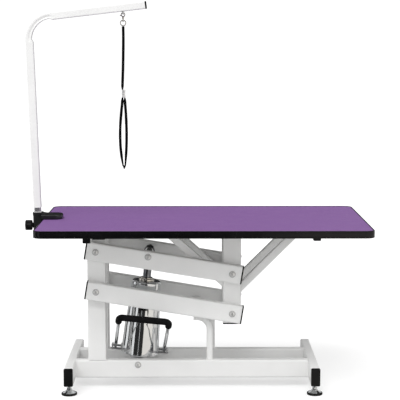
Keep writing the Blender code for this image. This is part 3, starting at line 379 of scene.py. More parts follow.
# Satin plate on the cross bolts: pale, with soft highlights.
SATIN_PLATE = Finish(
    "satin_plated_bolt_steel", Slot.CHROME, "#E2E2E1", "#ECECEB", 0.20, 0.45,
    blotch=0.006, grain=0.003, relief=0.00002, rough_spread=0.08,
)
# Bright zinc on the feet: almost a mirror, a little blue.
BRIGHT_ZINC = BrightPlate(
    "bright_zinc_plated_steel", Slot.ZINC, "#CFD2D5", "#DCDEE0", 0.13, 1.0,
    blotch=0.01, grain=0.004, relief=0.00002, rough_spread=0.12,
)
# Zinc plate: dull grey-white metal with cloudy patches.
ZINC_PLATE = Finish(
    "zinc_plated_steel", Slot.ZINC, "#A9ABAD", "#C2C4C6", 0.34, 1.0,
    blotch=0.012, grain=0.003, relief=0.00003, rough_spread=0.10,
)
# Grey film-faced plywood, seen only from below.
FILM_PLYWOOD = Plywood(
    "film_faced_plywood_grey", Slot.WOOD, "#8B8987", "#9D9B98", 0.55, grain=0.0008, relief=0.00005,
)
# Ribbed rubber mat, calendered and embossed: matt purple with a fine diamond grid; its lighter and
# darker purples are a painted highlight on the ribs and painted shade between them.
RIBBED_MAT = MouldedRubberMat(
    "embossed_rubber_mat_purple", Slot.MAT, "#5E397B", "#855B9B", 0.74, relief=0.0007,
)
# Nitrile foam of the pedal's grip.
NITRILE_FOAM = CellFoam(
    "nitrile_foam_black", Slot.FOAM, "#0A0A0B", "#121214", 0.88,
    blotch=0.02, grain=0.0013, relief=0.00012, specular=0.2,
)
# Woven nylon tape of the noose, with painted highlight and shade across its weave.
NYLON_WEBBING = WovenWebbing(
    "woven_nylon_webbing_black", Slot.NYLON, "#020203", "#0D0D0F", 0.85, relief=0.0003,
    specular=0.15,
)


# ---- Meshes -------------------------------------------------------------------------------------
def rounded_rectangle(wide: float, tall: float, radius: float, steps: int = 5) -> Outline:
    """Points of a rectangle about the origin with round corners, anticlockwise."""
    radius = max(min(radius, wide / 2 - 1e-5, tall / 2 - 1e-5), 1e-5)
    points: Outline = []
    for quarter, (sign_x, sign_y) in enumerate(((1, 1), (-1, 1), (-1, -1), (1, -1))):
        for step in range(steps + 1):
            angle = math.pi / 2 * (quarter + step / steps)
            points.append((
                sign_x * (wide / 2 - radius) + radius * math.cos(angle),
                sign_y * (tall / 2 - radius) + radius * math.sin(angle),
            ))
    return points


def polar(radius_at: Callable[[float], float], steps: int) -> Outline:
    """Points about the origin at the radius that each angle gives."""
    angles = [math.tau * step / steps for step in range(steps)]
    return [(radius_at(a) * math.cos(a), radius_at(a) * math.sin(a)) for a in angles]


def circle(radius: float, steps: int = 16) -> Outline:
    """Points of a circle about the origin."""
    return polar(lambda _: radius, steps)


def hexagon(across_flats: float, limit: float = 1.0) -> Outline:
    """Points of a hexagon about the origin, cut back to a circle of this radius."""
    def radius_at(angle: float) -> float:
        """Distance to the hexagon's side at this angle."""
        within = (angle % (math.pi / 3)) - math.pi / 6
        return min(across_flats / 2 / math.cos(within), limit)
    return polar(radius_at, 36)


def level(outline: Sequence[tuple[float, float]], height: float) -> Ring:
    """The outline as a ring at this height."""
    return [Vector((x, y, height)) for x, y in outline]


def arc(
    centre: tuple[float, float], radius: float, start: float, end: float, steps: int
) -> Outline:
    """Points along an arc, with its angles in degrees."""
    angles = [math.radians(start + (end - start) * step / steps) for step in range(steps + 1)]
    return [(centre[0] + radius * math.cos(a), centre[1] + radius * math.sin(a)) for a in angles]


def axes(at: Vector, along: Vector, up: Vector) -> Matrix:
    """The placement whose Z runs along one direction and whose Y leans to another."""
    z = along.normalized()
    x = up.cross(z).normalized()
    turned = Matrix((x, z.cross(x), z)).transposed().to_4x4()
    return Matrix.Translation(at) @ turned


def filleted(corners: Sequence[Vector], radius: float, steps: int = 10) -> list[Vector]:
    """A route through these corners, with each inner corner rounded to this radius."""
    route = [corners[0]]
    for before, corner, after in zip(corners, corners[1:], corners[2:]):
        into, out = (corner - before).normalized(), (after - corner).normalized()
        angle = into.angle(out)
        centre = corner + (out - into).normalized() * radius / math.cos(angle / 2)
        start = corner - into * radius * math.tan(angle / 2) - centre
        side = into.cross(out).normalized()
        route += [
            centre + Matrix.Rotation(angle * step / steps, 3, side) @ start
            for step in range(steps + 1)
        ]
    return [*route, corners[-1]]


def smooth_route(points: Sequence[Vector], steps: int = 3) -> list[Vector]:
    """Points of a smooth curve through the given ones."""
    padded = [points[0] * 2 - points[1], *points, points[-1] * 2 - points[-2]]
    route: list[Vector] = []
    for p0, p1, p2, p3 in zip(padded, padded[1:], padded[2:], padded[3:]):
        for step in range(steps):
            t = step / steps
            route.append(0.5 * (
                2 * p1 + (p2 - p0) * t + (2 * p0 - 5 * p1 + 4 * p2 - p3) * t * t
                + (3 * p1 - p0 - 3 * p2 + p3) * t * t * t
            ))
    return [*route, points[-1]]


def even_route(points: Sequence[Vector], pitch: float) -> list[Vector]:
    """The same route with a point at least every so many metres."""
    route: list[Vector] = []
    for start, end in zip(points, points[1:]):
        count = max(1, round((end - start).length / pitch))
        route += [start.lerp(end, step / count) for step in range(count)]
    return [*route, points[-1]]


class Shape:
    """Points and faces that grow part by part into one mesh."""

    def __init__(self) -> None:
        """Start with nothing."""
        self.points: list[Vector] = []
        self.faces: list[tuple[int, ...]] = []

    def loft(
        self, rings: Sequence[Ring], matrix: Matrix | None = None, loop: bool = False,
        open_ends: bool = False,
    ) -> Shape:
        """Skin a row of rings of equal length.

        Args:
            rings: The rings in order.
            matrix: Placement of the rings, or none.
            loop: True joins the last ring to the first.
            open_ends: True leaves both ends without a cap.

        Returns:
            The shape itself.
        """
        first, count = len(self.points), len(rings[0])
        for ring in rings:
            self.points += [matrix @ point if matrix else point.copy() for point in ring]
        spans = len(rings) if loop else len(rings) - 1
        for span in range(spans):
            low = first + span * count
            high = first + (span + 1) % len(rings) * count
            for here in range(count):
                ahead = (here + 1) % count
                self.faces.append((low + here, low + ahead, high + ahead, high + here))
        if not loop and not open_ends:
            last = first + (len(rings) - 1) * count
            self.faces.append(tuple(range(first + count - 1, first - 1, -1)))
            self.faces.append(tuple(range(last, last + count)))
        return self

    def lathe(
        self, profile: Sequence[tuple[float, float]], matrix: Matrix | None = None,
        steps: int = 48, loop: bool = False,
    ) -> Shape:
        """Turn a profile of radius and height about its own Z."""
        rings = [level(circle(max(radius, 1e-5), steps), height) for radius, height in profile]
        return self.loft(rings, matrix, loop)

    def sweep(
        self, route: Sequence[Vector], section: Callable[[int], Outline] | Outline,
        up: Vector, loop: bool = False, open_ends: bool = False,
    ) -> Shape:
        """Carry a section along a route.

        Args:
            route: The points that the section's middle follows.
            section: The outline, or a function of the point's number that gives it.
            up: The way that the section's second axis leans at the start.
            loop: True where the route closes on itself.
            open_ends: True leaves both ends without a cap.

        Returns:
            The shape itself.
        """
        count, rings, lean = len(route), [], up
        for index, at in enumerate(route):
            before = route[index - 1] if index or loop else at
            after = route[(index + 1) % count] if index < count - 1 or loop else at
            along = (after - before).normalized()
            lean = (lean - along * lean.dot(along)).normalized()
            side = lean.cross(along)
            outline = section(index) if callable(section) else section
            rings.append([at + side * x + lean * y for x, y in outline])
        return self.loft(rings, None, loop, open_ends)

    def mesh(self, name: str, sharp: float = 35.0) -> bpy.types.Mesh:
        """The mesh, with faces outwards and smooth except over sharp edges."""
        made = bpy.data.meshes.new(name)
        made.from_pydata(self.points, [], self.faces)
        work = bmesh.new()
        work.from_mesh(made)
        bmesh.ops.recalc_face_normals(work, faces=work.faces)
        work.to_mesh(made)
        work.free()
        made.shade_smooth()
        made.set_sharp_from_angle(angle=math.radians(sharp))
        return made


def add_piece(
    name: str, shape: Shape, finish: Finish, body: Body | str, *nodes: str, sharp: float = 35.0
) -> bpy.types.Object:
    """Make a piece, dress it and hang it on its body.

    Args:
        name: The piece's name.
        shape: Its shape, in place.
        finish: Its finish.
        body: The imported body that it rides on.
        *nodes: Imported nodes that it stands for.
        sharp: Angle in degrees over which an edge stays sharp.

    Returns:
        The piece's object.
    """
    piece = bpy.data.objects.new(name, shape.mesh(name, sharp))
    bpy.context.scene.collection.objects.link(piece)
    piece.data.materials.append(finish.material())
    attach(piece, body.value if isinstance(body, Body) else body)
    if nodes:
        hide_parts(*nodes)
    LOG.info("%s: %d points", name, len(piece.data.vertices))
    return piece


def dress(nodes: dict[str, bpy.types.Object], finish: Finish, *names: str) -> None:
    """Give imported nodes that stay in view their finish."""
    for name in names:
        slots = nodes[name].material_slots
        for place in slots:
            place.material = finish.material()
        if not slots:
            nodes[name].data.materials.append(finish.material())


def middle(name: str) -> Vector:
    """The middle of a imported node's box."""
    low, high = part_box(name)
    return (low + high) / 2


def add_nut(shape: Shape, matrix: Matrix, flats: float, tall: float) -> None:
    """A chamfered hexagon nut that stands on the placement's origin, along its Z."""
    narrow, wide = flats * 0.48, flats
    shape.loft([
        level(hexagon(flats, narrow), 0), level(hexagon(flats, wide), tall * 0.12),
        level(hexagon(flats, wide), tall * 0.88), level(hexagon(flats, narrow), tall),
    ], matrix)


def add_thread(shape: Shape, matrix: Matrix, radius: float, start: float, end: float) -> None:
    """A threaded stud as rings of crests and roots 1.25 mm apart."""
    pitch = 0.00125
    count = int((end - start) / pitch * 2)
    shape.lathe([
        (radius - (0.0006 if turn % 2 else 0), start + turn * pitch / 2) for turn in range(count)
    ], matrix, 20)


def add_bead(shape: Shape, start: Vector, end: Vector, radius: float = 0.0024) -> None:
    """A weld bead between two points: overlapping puddles 3 mm apart."""
    route = even_route([start, end], 0.0012)
    sizes = [radius * (0.82 + 0.22 * abs(math.sin(math.pi * i * 0.4))) for i in range(len(route))]
    sizes[0] = sizes[-1] = radius * 0.4
    up = Z_AXIS if abs((end - start).normalized().z) < 0.7 else X_AXIS
    shape.sweep(route, lambda index: circle(sizes[index], 8), up)


# ---- Camera and studio --------------------------------------------------------------------------
@dataclass
class Studio:
    """A white sweep under a soft sky, with bright cards that only the reflections see."""

    camera_at: Vector = field(default_factory=lambda: Vector((-0.0030, -4.0275, 1.1258)))
    camera_down: float = 0.1249
    camera_turn: float = -0.0056
    lens: float = 108.9
    sky: float = 0.86
    mirrored_sky: float = 0.03
    key: float = 1.6
    floor_glow: float = 0.46
    floor_half: float = 14.0

    def build(self) -> None:
        """Set the camera, the floor, the lights and the cards."""
        self.camera()
        self.floor()
        self.light()
        self.cards()
        bpy.context.scene.view_settings.view_transform = "Standard"

    def camera(self) -> None:
        """The camera, a little above the tabletop and in front of it."""
        lens = bpy.data.cameras.new("camera")
        lens.lens = self.lens
        camera = bpy.data.objects.new("camera", lens)
        bpy.context.scene.collection.objects.link(camera)
        camera.location = self.camera_at
        camera.rotation_euler = (math.pi / 2 - self.camera_down, 0, self.camera_turn)
        bpy.context.scene.camera = camera

    def floor(self) -> None:
        """A pale floor that glows a little to the lens, so that only contact shadows show on it."""
        half = self.floor_half
        paint = bpy.data.materials.new("studio_floor")
        paint.use_nodes = True
        tree = paint.node_tree
        shader = tree.nodes["Principled BSDF"]
        shader.inputs["Base Color"].default_value = (0.60, 0.60, 0.60, 1)
        shader.inputs["Roughness"].default_value = 0.9
        shader.inputs["Specular IOR Level"].default_value = 0.0
        shader.inputs["Emission Color"].default_value = (1, 1, 1, 1)
        glow = node(tree, "ShaderNodeMath", {
            0: node(tree, "ShaderNodeLightPath").outputs["Is Camera Ray"], 1: self.floor_glow,
        }, operation="MULTIPLY")
        tree.links.new(glow.outputs["Value"], shader.inputs["Emission Strength"])
        floor = self.panel("floor", [
            Vector((x, y, 0)) for x, y in ((-half, -half), (half, -half), (half, half), (-half, half))
        ], paint)
        floor.visible_glossy = False

    def panel(
        self, name: str, corners: Sequence[Vector], paint: bpy.types.Material
    ) -> bpy.types.Object:
        """A flat piece of the studio, between these corners."""
        shape = Shape()
        shape.points, shape.faces = list(corners), [tuple(range(len(corners)))]
        made = bpy.data.objects.new(name, shape.mesh(name))
        bpy.context.scene.collection.objects.link(made)
        made.data.materials.append(paint)
        made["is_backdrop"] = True
        return made

    def light(self) -> None:
        """A sky that is white to the lens and dark in reflections, and one soft key light."""
        world = bpy.data.worlds.new("sky")
        bpy.context.scene.world = world
        world.use_nodes = True
        tree = world.node_tree
        tree.nodes.clear()
        path = node(tree, "ShaderNodeLightPath")
        strength = node(tree, "ShaderNodeMapRange", {
            "Value": path.outputs["Is Camera Ray"], "To Min": self.sky, "To Max": 1.1,
        })
        mirrored = node(tree, "ShaderNodeMapRange", {
            "Value": path.outputs["Is Glossy Ray"], "To Min": strength.outputs["Result"],
            "To Max": self.mirrored_sky,
        })
        sky = node(tree, "ShaderNodeBackground", {
            "Color": (1, 1, 1, 1), "Strength": mirrored.outputs["Result"],
        })
        node(tree, "ShaderNodeOutputWorld", {"Surface": sky.outputs["Background"]})
        sun = bpy.data.lights.new("key", "SUN")
        sun.energy = self.key
        sun.angle = math.radians(40)
        key = bpy.data.objects.new("key", sun)
        bpy.context.scene.collection.objects.link(key)
        key.rotation_euler = (math.radians(30), math.radians(-14), 0)
        key.visible_glossy = False

    def cards(self) -> None:
        """Bright cards around and over the table, seen only in reflections."""
        for number, (turn, half, strength, tint) in enumerate((
            (-105, 1.2, 0.7, "#FFFFFF"), (-140, 7, 0.95, "#FFFFFF"), (-190, 10, 0.95, "#FFFFFF"),
            (-232, 9, 0.8, "#FFFFFF"), (-43, 37, 0.92, "#FFFAF3"), (16, 20, 0.74, "#FFFCF8"),
            (58, 10, 0.8, "#FFFFFF"),
        )):
            across = [Vector((math.cos(a), math.sin(a), 0)) * 3.0
                      for a in (math.radians(turn - half), math.radians(turn + half))]
            self.card(f"card_{number}", [
                across[0] - Z_AXIS * 2.2, across[1] - Z_AXIS * 2.2,
                across[1] + Z_AXIS * 2.6, across[0] + Z_AXIS * 2.6,
            ], strength, tint)
        self.card("card_above", [
            Vector((x, y, 3.2)) for x, y in ((-1.6, -2.2), (1.2, -2.2), (1.2, 0.6), (-1.6, 0.6))
        ], 1.5, "#FFFFFF")

    def card(self, name: str, corners: Sequence[Vector], strength: float, tint: str) -> None:
        """One glowing card that neither the lens nor the shadows see."""
        paint = bpy.data.materials.new(name)
        paint.use_nodes = True
        tree = paint.node_tree
        tree.nodes.clear()
        glow = node(tree, "ShaderNodeEmission", {"Color": linear(tint), "Strength": strength})
        node(tree, "ShaderNodeOutputMaterial", {"Surface": glow.outputs["Emission"]})
        made = self.panel(name, corners, paint)
        made.visible_camera = made.visible_diffuse = made.visible_shadow = False


# ---- Noose --------------------------------------------------------------------------------------
@dataclass
class Noose:
    """Snap hook, ring, webbing with its slider, and the knot, which hang from the arm's eye."""

    bar: Vector
    strap_top: float = 0.0400
    slider_top: float = 0.2480
    slider_tall: float = 0.026
    slider_wide: float = 0.0120
    slider_deep: float = 0.0100
    strand_half: float = 0.0037
    gap: float = 0.0003
    webbing_wide: float = 0.0092
    webbing_thick: float = 0.0032
    cord_diameter: float = 0.007
    strap_length: float = 0.464
    return_length: float = 0.229
    knot_gather: float = 0.56
    gather_rate: float = 0.018
    slider_gather: float = 0.44
    gather_length: float = 0.012
    loop: float = 0.0045
    hook_loop: float = 0.0062
    wire: float = 0.0016
    hook_length: float = 0.020
    ring: float = 0.009

    def routes(self) -> dict[str, list[Vector]]:
        """The middle lines of the strap and of its return strand, from top to bottom."""
        half = self.strand_half
        strap = (
            (0.0, self.strap_top), (0.0004, 0.080), (-0.0004, 0.130), (-0.0016, 0.180),
            (-half, 0.236), (-half, 0.262), (-0.0050, 0.290), (-0.0086, 0.325), (-0.0118, 0.365),
            (-0.0128, 0.400), (-0.0118, 0.436), (-0.0084, 0.470), (-0.0048, 0.494), (-half, 0.502),
        )
        back = (
            (half, self.slider_top + self.slider_tall + self.gap), (0.0045, 0.292),
            (0.0068, 0.325), (0.0084, 0.365), (0.0088, 0.400), (0.0080, 0.436),
            (0.0060, 0.470), (0.0042, 0.494), (half, 0.502),
        )
        return {
            name: smooth_route([self.bar + Vector((side, 0, -down)) for side, down in route])
            for name, route in (("webbing_strap", strap), ("webbing_return", back))
        }

    def build(self) -> None:
        """Make every piece of the noose."""
        slider = self.slider()
        knot = self.knot()
        self.hook()
        self.ring_piece()
        nodes = {"webbing_strap": "noose_strap", "webbing_return": "noose_return"}
        for name, route in self.routes().items():
            fine = even_route(route, 0.0015)
            half_wide, half_thick = self.webbing_wide / 2, self.webbing_thick / 2
            last = len(fine) - 1
            pinch_at = self.bar.z - self.slider_top - self.slider_tall / 2

            def section(index: int) -> Outline:
                """Flat tape with selvedges, gathered where it enters the slider and the knot."""
                past = abs(fine[index].z - pinch_at) - self.slider_tall / 2 + 0.001
                clear = max(0.0, min(past / self.gather_length, 1.0))
                close = min(
                    1.0, self.knot_gather + (last - index) * self.gather_rate,
                    self.slider_gather + (1 - self.slider_gather) * clear,
                )
                wave = 1 + 0.05 * noise.noise(Vector((index * 0.06, 3.1 * len(name), 0)))
                wide, thick = half_wide * close * wave, half_thick * (2 - close)
                return rounded_rectangle(2 * wide, 2 * thick, thick * 0.9, 3)

            strand = add_piece(
                name, Shape().sweep(fine, section, Y_AXIS), NYLON_WEBBING, Body.NOOSE, nodes[name],
                sharp=60,
            )

    def slider(self) -> bpy.types.Object:
        """The barrel that sets the noose's size: a rounded shell with a waist and a spring button."""
        top = self.bar - Z_AXIS * self.slider_top
        rings = []
        for inset, down in (
            (0.0012, 0), (0.0003, 0.0006), (0, 0.0016), (0, 0.006), (0.0009, 0.0075),
            (0.0009, 0.0185), (0, 0.020), (0, 0.0244), (0.0003, 0.0254), (0.0012, 0.026),
        ):
            outline = rounded_rectangle(
                self.slider_wide - 2 * inset, self.slider_deep - 2 * inset, 0.0036 - inset, 5
            )
            rings.append([top + Vector((x, y, -down)) for x, y in outline])
        shape = Shape().loft(rings)
        button = axes(top + Vector((0, -self.slider_deep / 2 + 0.001, -0.013)), -Y_AXIS, Z_AXIS)
        shape.lathe([(0.0032, 0), (0.0032, 0.0006), (0.0026, 0.0010), (0.0003, 0.0010)], button, 24)
        return add_piece("cord_slider", shape, SATIN_PLATE, Body.NOOSE, "noose_slider")

    def knot(self) -> bpy.types.Object:
        """The two strands' knot, pulled tight, with its short tail."""
        at = self.bar - Z_AXIS * 0.5035
        route = []
        for step in range(60):
            t = math.tau * step / 60
            route.append(at + Vector((
                (math.sin(t) + 1.6 * math.sin(2 * t)) * 0.00125,
                (math.cos(t) - 1.6 * math.cos(2 * t)) * 0.00125,
                -math.sin(3 * t) * 0.0022,
            )))
        shape = Shape().sweep(route, circle(0.0019, 10), Z_AXIS, loop=True)
        shape.lathe([
            (0.0008, -0.0085), (0.0022, -0.0075), (0.0026, -0.004), (0.0030, 0), (0.0022, 0.004),
        ], Matrix.Translation(at), 16)
        return add_piece("webbing_knot", shape, NYLON_WEBBING, Body.NOOSE, sharp=70)

    def hook(self) -> None:
        """The swivel snap hook: two loops, a swivel neck, a gate and its thumb lever."""
        lower = self.bar - Z_AXIS * self.hook_length
        shape = Shape()
        hung = self.bar - Z_AXIS * (self.hook_loop - self.loop)
        for centre, normal, radius in ((hung, Y_AXIS, self.hook_loop), (lower, X_AXIS, self.loop)):
            side = normal.cross(Z_AXIS)
            loop = [
                centre + (side * math.cos(a) + Z_AXIS * math.sin(a)) * radius
                for a in (math.tau * step / 32 for step in range(32))
            ]
            shape.sweep(loop, circle(self.wire, 10), normal, loop=True)
        neck = Matrix.Translation(lower)
        shape.lathe([
            (0.0016, 0.0035), (0.0030, 0.0045), (0.0033, 0.0060), (0.0024, 0.0070), (0.0024, 0.0080),
            (0.0038, 0.0088), (0.0040, 0.0108), (0.0030, 0.0122), (0.0016, 0.0128),
        ], neck, 24)
        lever = [
            self.bar + Vector(place)
            for place in ((-0.0058, 0, -0.0030), (-0.0082, 0, -0.0050), (-0.0108, 0, -0.0050))
        ]
        shape.sweep(even_route(lever, 0.001), circle(0.0013, 10), Y_AXIS)
        add_piece("swivel_snap_hook", shape, NICKEL_PLATE, Body.NOOSE, "snap_hook")

    def ring_piece(self) -> None:
        """The ring between the hook and the webbing, a little longer than it is wide."""
        centre = self.bar - Z_AXIS * (self.hook_length + self.ring)
        route = [
            centre + Vector((math.cos(a) * self.ring, 0, math.sin(a) * self.ring))
            for a in (math.tau * step / 48 for step in range(48))
        ]
        shape = Shape().sweep(route, circle(self.wire, 12), Y_AXIS, loop=True)
        add_piece("welded_ring", shape, NICKEL_PLATE, Body.NOOSE, "noose_ring")


# ---- Base, arms and carriage --------------------------------------------------------------------
@dataclass
class EndCaps:
    """Domed plastic plugs that close the ends of the tubes, with a shallow panel in each face."""

    plug: float = 0.008

    def add(self, shape: Shape, matrix: Matrix, wide: float, tall: float, corner: float) -> None:
        """Add one cap whose Z points out of the tube's end.

        Args:
            shape: The shape that gets the cap.
            matrix: Placement of the tube's end.
            wide: The tube along X.
            tall: The tube along Y.
            corner: Radius of the tube's corners.
        """
        rings = []
        for inset, height in (
            (0.0030, -self.plug), (0.0024, -0.0002), (0.0004, 0.0), (0.0, 0.0005), (0.0, 0.0032),
            (0.0003, 0.0040), (0.0009, 0.0044), (0.0016, 0.0045), (0.0032, 0.0045),
            (0.0038, 0.0039),
        ):
            outline = rounded_rectangle(wide - 2 * inset, tall - 2 * inset, corner - inset * 0.6)
            rings.append(level(outline, height))
        shape.loft(rings, matrix)


@dataclass
class Bolt:
    """A cross bolt: shaft, plain washers, and domed heads with a hexagon socket."""

    shaft: float = 0.006
    washer: float = 0.011
    washer_thick: float = 0.0015
    head: float = 0.0083
    head_tall: float = 0.0055
    socket_flats: float = 0.0062
    socket_deep: float = 0.0026

    def add(self, shape: Shape, at: Vector, half: float) -> None:
        """Add a bolt along Y that reaches this far from its middle to each washer."""
        for toward in (-1, 1):
            matrix = axes(at, Y_AXIS * toward, Z_AXIS)
            face = half + self.washer_thick
            shape.lathe([
                (self.shaft, 0), (self.shaft, half), (self.washer - 0.0004, half),
                (self.washer, half + 0.0004), (self.washer, face - 0.0004),
                (self.washer - 0.0004, face), (self.shaft, face),
            ], matrix, 40)
            dome = [
                (self.head * math.cos(a), face + self.head_tall * math.sin(a))
                for a in (math.radians(degrees) for degrees in (0, 12, 26, 40, 54, 65))
            ]
            top = face + self.head_tall * 0.93
            rings = [level(circle(radius, 36), height) for radius, height in dome]
            rings[0:0] = [level(circle(self.head * 0.98, 36), face - 0.0002)]
            rings += [
                level(hexagon(self.socket_flats + 0.0006, self.head), top),
                level(hexagon(self.socket_flats, self.head), top - 0.0003),
                level(hexagon(self.socket_flats, self.head), top - self.socket_deep),
            ]
            shape.loft(rings, matrix)


@dataclass
class Base:
    """Rails and bars on four levelling feet, with two fixed posts and the rest stop."""

    nodes: dict[str, bpy.types.Object]
    disc: float = 0.0255
    stud: float = 0.004

    def build(self) -> None:
        """Dress the tubes; make the feet, the caps, the welds and the bolts."""
        dress(
            self.nodes, POWDER_COAT, "base_bar_left", "base_bar_right", "base_rail_front",
            "base_rail_rear", "fixed_post_front", "fixed_post_rear", "rest_stop",
        )
        self.feet()
        self.caps()
        self.welds()
        self.bolts()

    def feet(self) -> None:
        """Each foot: rubber pad, pressed steel flange, swivel boss, stud and two nuts."""
        for side in ("left", "right"):
            for end in ("front", "rear"):
                name = f"levelling_foot_{side}_{end}"
                low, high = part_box(name)
                body = f"foot_{side}_{end}"
                stand = Matrix.Translation(Vector(((low.x + high.x) / 2, (low.y + high.y) / 2, 0)))
                rim = self.disc
                pad = Shape().lathe([
                    (rim - 0.0010, 0), (rim - 0.0002, 0.0006), (rim, 0.0016), (rim, 0.0054),
                    (rim - 0.0003, 0.0064), (rim - 0.0012, 0.0070), (rim - 0.006, 0.0072),
                ], stand, 56)
                add_piece(f"foot_pad_{side}_{end}", pad, PAD_RUBBER, body)
                steel = Shape().lathe([
                    (rim - 0.0042, 0.0066), (rim - 0.0038, 0.0074), (rim - 0.0046, 0.0080),
                    (0.0185, 0.0094), (0.0150, 0.0112), (0.0120, 0.0130), (0.0104, 0.0142),
                    (0.0096, 0.0152), (0.0094, 0.0166), (0.0074, 0.0174), (0.0060, 0.0176),
                ], stand, 56)
                add_nut(steel, stand @ Matrix.Translation((0, 0, 0.0180)), 0.0130, 0.0058)
                add_thread(steel, stand, self.stud, 0.0160, high.z)
                add_nut(steel, stand @ Matrix.Translation((0, 0, 0.0270)), 0.0130, 0.0062)
                add_piece(f"foot_steel_{side}_{end}", steel, BRIGHT_ZINC, body, name)

    def caps(self) -> None:
        """The caps on both ends of both bars and on the fixed posts' tops."""
        caps = EndCaps()
        for side in ("left", "right"):
            low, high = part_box(f"base_bar_{side}")
            for end, toward, at_y in (("front", -1, low.y), ("rear", 1, high.y)):
                shape = Shape()
                at = Vector(((low.x + high.x) / 2, at_y + toward * 0.0003, (low.z + high.z) / 2))
                caps.add(shape, axes(at, Y_AXIS * toward, Z_AXIS), 0.030, 0.060, 0.0045)
                add_piece(
                    f"bar_cap_{side}_{end}", shape, MOULDED_PLASTIC, Body.BASE,
                    f"base_cap_{side}_{end}",
                )
        for end in ("front", "rear"):
            low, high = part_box(f"fixed_post_{end}")
            shape = Shape()
            at = Vector(((low.x + high.x) / 2, (low.y + high.y) / 2, high.z + 0.0003))
            caps.add(shape, axes(at, Z_AXIS, X_AXIS), 0.030, 0.060, 0.0045)
            add_piece(f"post_cap_{end}", shape, MOULDED_PLASTIC, Body.BASE)

    def welds(self) -> None:
        """Weld beads where the tubes of the base meet, coated with them."""
        shape = Shape()
        low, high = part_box("base_rail_front")
        top, bottom = high.z, low.z
        for toward in (-1, 1):
            inner, outer = -low.y - 0.030, -low.y
            for side_x in (low.x, high.x):
                for at_y in (inner, outer):
                    rise = at_y * toward
                    add_bead(
                        shape, Vector((side_x, rise, bottom + 0.004)),
                        Vector((side_x, rise, top - 0.004)), 0.0020,
                    )
                add_bead(
                    shape, Vector((side_x, toward * (inner + 0.004), top - 0.0008)),
                    Vector((side_x, toward * (outer - 0.004), top - 0.0008)), 0.0017,
                )
        for name, toward in (("fixed_post_front", -1), ("fixed_post_rear", 1)):
            post_low, post_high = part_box(name)
            for side_x in (post_low.x, post_high.x):
                add_bead(
                    shape, Vector((side_x, post_low.y + 0.004, top + 0.0006)),
                    Vector((side_x, post_high.y - 0.004, top + 0.0006)),
                )
        stop_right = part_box("rest_stop")[1].x
        for leg_x, toward in ((stop_right - 0.020, -1), (stop_right - 0.010, 1)):
            for side in (-0.010, 0.010):
                at_x = leg_x + side
                add_bead(
                    shape, Vector((at_x, toward * 0.069, top + 0.0006)),
                    Vector((at_x, toward * 0.085, top + 0.0006)), 0.0019,
                )
        add_piece("base_welds", shape, POWDER_COAT, Body.BASE, sharp=60)

    def bolts(self) -> None:
        """The two fixed pivots' bolts and the pump's foot bolt."""
        bolt = Bolt()
        for name in ("pivot_pin_lower_fixed", "pivot_pin_upper_fixed", "pump_base_pin"):
            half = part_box(name)[1].y - bolt.washer_thick - bolt.head_tall
            shape = Shape()
            bolt.add(shape, middle(name), half)
            add_piece(name.replace("pin", "bolt"), shape, SATIN_PLATE, Body.BASE, name)


@dataclass
class LiftArms:
    """Two levels of parallel arms with their caps and bolts."""

    nodes: dict[str, bpy.types.Object]
    end: float = 0.030
    arm_y: float = 0.1078

    def build(self) -> None:
        """Dress both levels and make their caps, bolts and tie."""
        for name, body in (("lower", Body.LOWER_ARMS), ("upper", Body.UPPER_ARMS)):
            dress(self.nodes, POWDER_COAT, f"{name}_arm_front", f"{name}_arm_rear")
            fixed, moving = (middle(f"pivot_pin_{name}_{place}") for place in ("fixed", "moving"))
            self.caps(name, body, fixed, moving)
            shape = Shape()
            Bolt().add(shape, moving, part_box(f"pivot_pin_{name}_moving")[1].y - 0.007)
            add_piece(
                f"pivot_bolt_{name}_moving", shape, SATIN_PLATE, body, f"pivot_pin_{name}_moving"
            )
        dress(self.nodes, POWDER_COAT, "lower_arm_tie")
        shape = Shape()
        Bolt().add(shape, middle("ram_pin"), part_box("ram_pin")[1].y - 0.007)
        add_piece("ram_bolt", shape, SATIN_PLATE, Body.UPPER_ARMS, "ram_pin")
        self.ram_bushes(middle("ram_pin"))

    def caps(self, name: str, body: Body, fixed: Vector, moving: Vector) -> None:
        """The caps on both ends of the front and rear arms of one level."""
        along = (moving - fixed).normalized()
        up = along.cross(-Y_AXIS)
        if up.z < 0:
            up = -up
        for side, at, outward in (("left", fixed, -along), ("right", moving, along)):
            for end, toward in (("front", -1), ("rear", 1)):
                place = at + outward * (self.end + 0.0003) + Y_AXIS * toward * self.arm_y
                shape = Shape()
                EndCaps().add(shape, axes(place, outward, up), 0.030, 0.060, 0.0045)
                replaced = (f"{name}_arm_cap_{side}",) if end == "front" else ()
                add_piece(f"{name}_cap_{side}_{end}", shape, MOULDED_PLASTIC, body, *replaced)

    def ram_bushes(self, at: Vector) -> None:
        """Two spacer bushes on the ram's bolt, between the ram's eye and the arms."""
        shape = Shape()
        for toward in (-1, 1):
            shape.lathe([
                (0.0062, 0.0165), (0.0080, 0.0165), (0.0084, 0.0170), (0.0084, 0.0900),
                (0.0080, 0.0908), (0.0062, 0.0908),
            ], axes(at, Y_AXIS * toward, Z_AXIS), 32, loop=True)
        add_piece("ram_bushes", shape, COATED_FORGING, Body.UPPER_ARMS)


